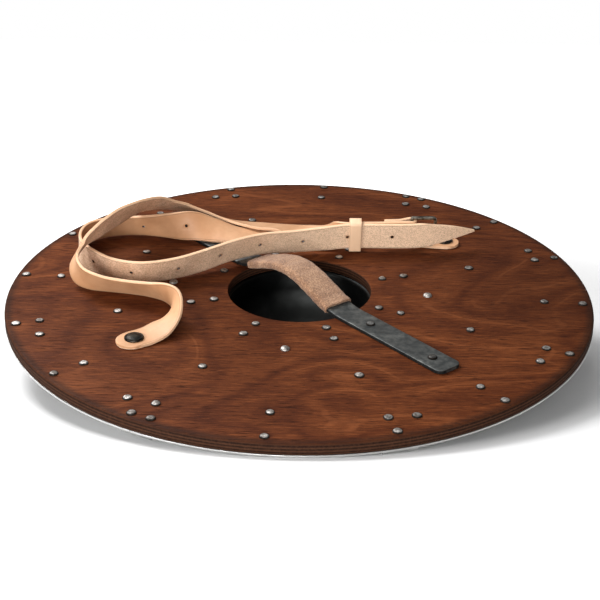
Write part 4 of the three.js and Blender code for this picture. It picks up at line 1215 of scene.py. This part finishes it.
# %% Buckle strap
HINGE_RADIUS = 1.8 * MM
HINGE_CLEARANCE = 0.3 * MM
FOLD_RADIUS = HINGE_RADIUS + HINGE_CLEARANCE + STRAP_THICKNESS / 2
TAIL_LENGTH = 30 * MM
TAIL_GAP = 0.5 * MM
SLOT_BACK = 12 * MM
SLOT_HALF_WIDTH = 2.6 * MM
end_middle, end_forward, end_across, end_out = (value[0] for value in buckle_route.at(buckle_route.total))
tip_spot = hole_route.at(hole_route.total - HOLE_FROM_TIP)[0][0]
to_tail = end_out * -np.sign(np.dot(end_out, tip_spot - end_middle))
hinge = end_middle + to_tail * FOLD_RADIUS
tail_sign = float(np.sign(np.dot(end_out, to_tail)))


def slot_punch():
    """An oblong cutter through the fold, for the prong: two half circles joined by straight sides."""
    turn = round_turn(32)
    reach = FOLD_RADIUS + STRAP_THICKNESS
    middle = (reach - SLOT_BACK) / 2
    straight = np.where(np.cos(turn) > 0, reach, SLOT_HALF_WIDTH - SLOT_BACK) - middle
    ring = rows(np.cos(turn) * SLOT_HALF_WIDTH + straight, np.sin(turn) * SLOT_HALF_WIDTH)
    ring = ring @ np.stack([end_forward, end_across])
    return punch(hinge + end_forward * middle, ring, to_tail, reach)


def buckle_strap():
    """The tail's distance from the strap falls from the fold's width to a snug gap, as an even S."""
    total = buckle_route.total
    d = stations(total)
    middle, _, across, out = buckle_route.at(d)
    angle = np.linspace(0, math.pi, 17)[1:, None]
    radial = -to_tail * np.cos(angle) + end_forward * np.sin(angle)
    back = np.linspace(0, TAIL_LENGTH, 13)[1:]
    tail_middle, _, tail_across, tail_out = buckle_route.at(total - back)
    ease = np.minimum(back / (TAIL_LENGTH / 2), 1)
    snug = STRAP_THICKNESS + TAIL_GAP - 2 * FOLD_RADIUS
    apart = 2 * FOLD_RADIUS + snug * ease ** 2 * (3 - 2 * ease)
    path = (
        np.concatenate([middle, hinge + radial * FOLD_RADIUS, tail_middle + to_tail * apart[:, None]]),
        np.concatenate([across, np.repeat(end_across[None], len(angle), axis=0), tail_across]),
        np.concatenate([out, -radial * tail_sign, -tail_out]),
    )
    far = np.concatenate([d, total + FOLD_RADIUS * angle[:, 0], total + FOLD_RADIUS * math.pi + back])
    half = STRAP_WIDTH / 2 * round_end(far)
    punched("buckle_end_strap", ribbon(path, half, far, far * 0), [slot_punch()], ["buckle_strap"])


buckle_strap()
packed_hinge = [joint["pos_m"] for joint in frame["joints"] if joint["name"] == "buckle_swing"]
print("hinge at", np.round(hinge, 5), "and in the packed model at", packed_hinge)

# %% [markdown]
# ## Rivets of the straps
#
# Each strap is held by one large dark rivet with a low domed cap, and the turned end of the buckle
# strap by a small one. All three are plain turned profiles. Their metal and the buckle's age alike:
# clouds of wear change the colour and the polish.

# %% Dark rivets
BIG_SHANK = 3.0 * MM
BIG_WASHER = 8 * MM
STRAP_SEAT = BACK_SEAT + STRAP_THICKNESS + SEAT_GAP
CAP_SHARES = [
    (1, 0), (1, 0.35), (0.97, 0.55), (0.88, 0.72), (0.78, 0.66), (0.72, 0.70), (0.55, 0.88), (0.3, 0.97),
    (0, 1),
]


def aged_metal(name, clouds, grains, worn_from, rough, metallic, dark_tone, worn_tone):
    """Metal with a dark tone and a worn one, in that many clouds and relief grains in a metre."""
    finish = Finish(name)
    cloud = finish.noise(clouds, detail=4.0)
    return finish.done(
        Base_Color=finish.mix(cloud.smooth(worn_from, worn_from + 0.35), dark_tone, worn_tone),
        Roughness=rough + cloud * 0.2, Metallic=metallic,
        Normal=finish.relief((finish.noise(grains), 0.15 * MM)))


def cap_profile(low, high, head, washer, shank, seats):
    """A washer on the front, a shank, and a low cap with a raised ring near its edge."""
    front, back = seats
    foot = [(0, low), (washer * 0.95, low), (washer, low + 0.3 * MM), (washer, front)]
    cap = [(head * out, back + (high - back) * up) for out, up in CAP_SHARES]
    return np.array([*foot, (shank, front), (shank, back), *cap])


dark = aged_metal("dark_metal", 220.0, 900.0, 0.4, 0.26, 0.9, paint(28, 26, 24), paint(70, 64, 57))
for k in (1, 2):
    node = f"strap_rivet_{k}"
    low, high, spot = placed(node)
    seats = (BOARD_FRONT - SEAT_GAP, STRAP_SEAT)
    profile = cap_profile(low.z, high.z, (high.x - low.x) / 2, BIG_WASHER, BIG_SHANK, seats)
    cap = turned(profile, round_turn(48), spot)
    skin(f"strap_cap_{k}", [(cap, False, True, {})], dark, [node])
print("2 strap rivets")

# %% Fold rivet
FOLD_RIVET_BACK = 20 * MM
FOLD_CAP = 4 * MM
FOLD_SHANK = 1.5 * MM
FOLD_WASHER_RISE = 0.6 * MM
FOLD_CAP_RISE = 1.2 * MM


def fold_rivet():
    """The turned profile is laid over: its Z axis becomes the way from the strap to its tail."""
    (middle,), (forward,), _, (out,) = buckle_route.at(buckle_route.total - FOLD_RIVET_BACK)
    axis = out * tail_sign
    front = -STRAP_THICKNESS / 2 - SEAT_GAP
    back = 1.5 * STRAP_THICKNESS + TAIL_GAP + SEAT_GAP
    low, high = front - FOLD_WASHER_RISE, back + FOLD_CAP_RISE
    profile = cap_profile(low, high, FOLD_CAP, FOLD_CAP, FOLD_SHANK, (front, back))
    grid = middle + turned(profile, round_turn(28)) @ np.stack([forward, np.cross(axis, forward), axis])
    skin("fold_cap", [(grid, False, True, {})], dark, ["fold_rivet"])


fold_rivet()
print("fold rivet")

# %% [markdown]
# ## Keeper
#
# The keeper is a narrow loop of the same leather round both straps. Its line is a rounded
# rectangle, and a thin rounded section is carried round it. It rides on its own body, because it
# slides along the straps.

# %% Keeper
KEEPER_X = 0.2 * BOARD_RADIUS
KEEPER_LENGTH = 13 * MM
KEEPER_THICKNESS = 1.7 * MM
KEEPER_CLEARANCE = 1.1 * MM
KEEPER_SEARCH = 3 * MM
KEEPER_CORNER = 2.6 * MM
KEEPER_EDGE = 0.5 * MM
KEEPER_HIDE = 0.3


def nearest(route):
    """The frame of a route where it passes the keeper, going right."""
    middle, forward, across, _ = route.at(np.arange(0, route.total, KEEPER_SEARCH))
    k = np.argmin(np.where(forward[:, 0] > 0, np.abs(middle[:, 0] - KEEPER_X), 1.0))
    return middle[k], forward[k], across[k]


def keeper():
    """Line = middle + out (a (w - r) + r cos turn) + across (b (h - r) + r sin turn), all round."""
    a_middle, a_forward, a_across = nearest(buckle_route)
    b_middle, b_forward, b_across = nearest(hole_route)
    forward = unit((a_forward + b_forward) * [1, 1, 0])
    across = unit(b_across + a_across * np.sign(np.dot(a_across, b_across)))
    out = unit(np.cross(forward, across))
    across = unit(np.cross(out, forward))
    apart = a_middle - b_middle
    round_straps = KEEPER_CLEARANCE + KEEPER_THICKNESS / 2 - KEEPER_CORNER
    half_x = (abs(np.dot(apart, out)) + STRAP_THICKNESS) / 2 + round_straps
    half_y = (STRAP_WIDTH + abs(np.dot(apart, across))) / 2 + round_straps
    wide, cos, high, sin = rounded_loop(8, 1).T[..., None]
    outward = cos * out + sin * across
    line = wide * half_x * out + high * half_y * across + outward * KEEPER_CORNER
    along = np.repeat(forward[None], len(line), axis=0)
    section = KEEPER_LENGTH / 2, KEEPER_THICKNESS / 2, KEEPER_EDGE, rounded_loop(2, 4)
    grid, x, y = carried((a_middle + b_middle) / 2 + line, along, outward, *section)
    far = np.concatenate([[0], np.cumsum(np.linalg.norm(np.diff(line, axis=0), axis=1))])[:, None]
    # The keeper is made pale all over with painted light.
    marks = {"along": far + KEEPER_HIDE, "across": x / section[0], "side": -y / section[1], "painted_light": 1.0}
    skin("leather_keeper", [(grid, True, True, marks)], leather, ["keeper"], "keeper_loop")


keeper()

# %% [markdown]
# ## Buckle
#
# The frame is a bar bent to three sides of a rectangle, closed by the round hinge bar that the
# strap turns round. The prong is a short tapered bar with an eye on the hinge bar, and its tip
# rests on the frame. Frame and prong are bodies of their own, because both swing.

# %% Buckle frame
BUCKLE_LENGTH = 29 * MM
BUCKLE_BAR = 3 * MM
BUCKLE_GAP = 0.5 * MM
BUCKLE_THICKNESS = 3.6 * MM
BUCKLE_CORNER = 5 * MM
antique = aged_metal("buckle_metal", 190.0, 700.0, 0.35, 0.28, 1.0, paint(66, 62, 56), paint(150, 145, 134))
hinge_line = unit(np.cross(end_forward, to_tail))


def at_hinge(x, y, z):
    """Points in the hinge's own frame: x forward, y towards the tail, z along the bar."""
    return hinge + rows(x, y, z) @ np.stack([end_forward, to_tail, hinge_line])


def buckle_frame():
    """An oval bar carried along a line with two round corners, and a rod between its ends."""
    half_width = STRAP_WIDTH / 2 + BUCKLE_GAP + BUCKLE_BAR / 2
    reach = BUCKLE_LENGTH - HINGE_RADIUS - BUCKLE_BAR / 2
    corner = BUCKLE_CORNER - BUCKLE_BAR / 2
    bend = arc((reach - corner, -half_width + corner), corner, -90, 0, 8)
    half = np.concatenate([rows(np.linspace(0, reach - corner, 9)[:-1], -half_width), bend])
    line = np.concatenate([half, (half * [1, -1])[::-1]])
    ahead = unit(np.gradient(line, axis=0))
    turn = round_turn(20)
    wide, thick = oval(turn, BUCKLE_BAR / 2, BUCKLE_THICKNESS / 2)
    bent = at_hinge(line[:, :1] + ahead[:, 1:] * wide, thick, line[:, 1:] - ahead[:, :1] * wide)
    rod_z = np.linspace(-half_width, half_width, 3)[:, None]
    rod = at_hinge(HINGE_RADIUS * np.cos(turn), HINGE_RADIUS * np.sin(turn), rod_z)
    sheets = [capped(bent), capped(rod)]
    skin("buckle_bow", sheets, antique, ["buckle_frame"], "buckle", 50)


buckle_frame()
print("buckle frame", round(BUCKLE_LENGTH / MM), "mm long")

# %% Buckle prong
PRONG_THICKNESS = 2.4 * MM
PRONG_WIDTH = 3.0 * MM
PRONG_WALL = 1.3 * MM
PRONG_RING = 4.6 * MM
PRONG_OVERHANG = 1.5 * MM
PRONG_ARCH = 0.2 * MM
PRONG_THINNING = 0.35
PRONG_NARROWING = 0.25
PRONG_TIP_SHARE = 0.06


def buckle_prong():
    """Eye: a ring of oval section round the bar. Tongue: an oval that narrows towards its tip."""
    bore = HINGE_RADIUS + HINGE_CLEARANCE
    turn = round_turn(28)[:, None]
    around = round_turn(14)
    radius = bore + PRONG_WALL / 2 + PRONG_WALL / 2 * np.cos(around)
    eye = at_hinge(radius * np.cos(turn), radius * np.sin(turn), PRONG_RING / 2 * np.sin(around))
    rest = BUCKLE_THICKNESS / 2 + HINGE_CLEARANCE
    t = np.linspace(0, 1, 25)[:, None]
    x = bore + PRONG_WALL / 2 + (BUCKLE_LENGTH - HINGE_RADIUS + PRONG_OVERHANG - bore) * t
    thick = PRONG_THICKNESS / 2 * (1 - PRONG_THINNING * t)
    end = np.sqrt(np.clip((1 - t) / PRONG_TIP_SHARE, 0.02, 1))
    height = rest + thick + PRONG_ARCH * np.sin(math.pi * t)
    height[:2, 0] = bore * 0.6, bore * 0.9
    half_wide = PRONG_WIDTH / 2 * (1 - PRONG_NARROWING * t) * end
    tongue = at_hinge(x, height + thick * end * np.sin(around), half_wide * np.cos(around))
    sheets = [(eye, True, True, {}), capped(tongue)]
    skin("buckle_tongue", sheets, antique, ["buckle_prong"], "prong", 60)


buckle_prong()
print("buckle made; pieces so far:", len(pieces))
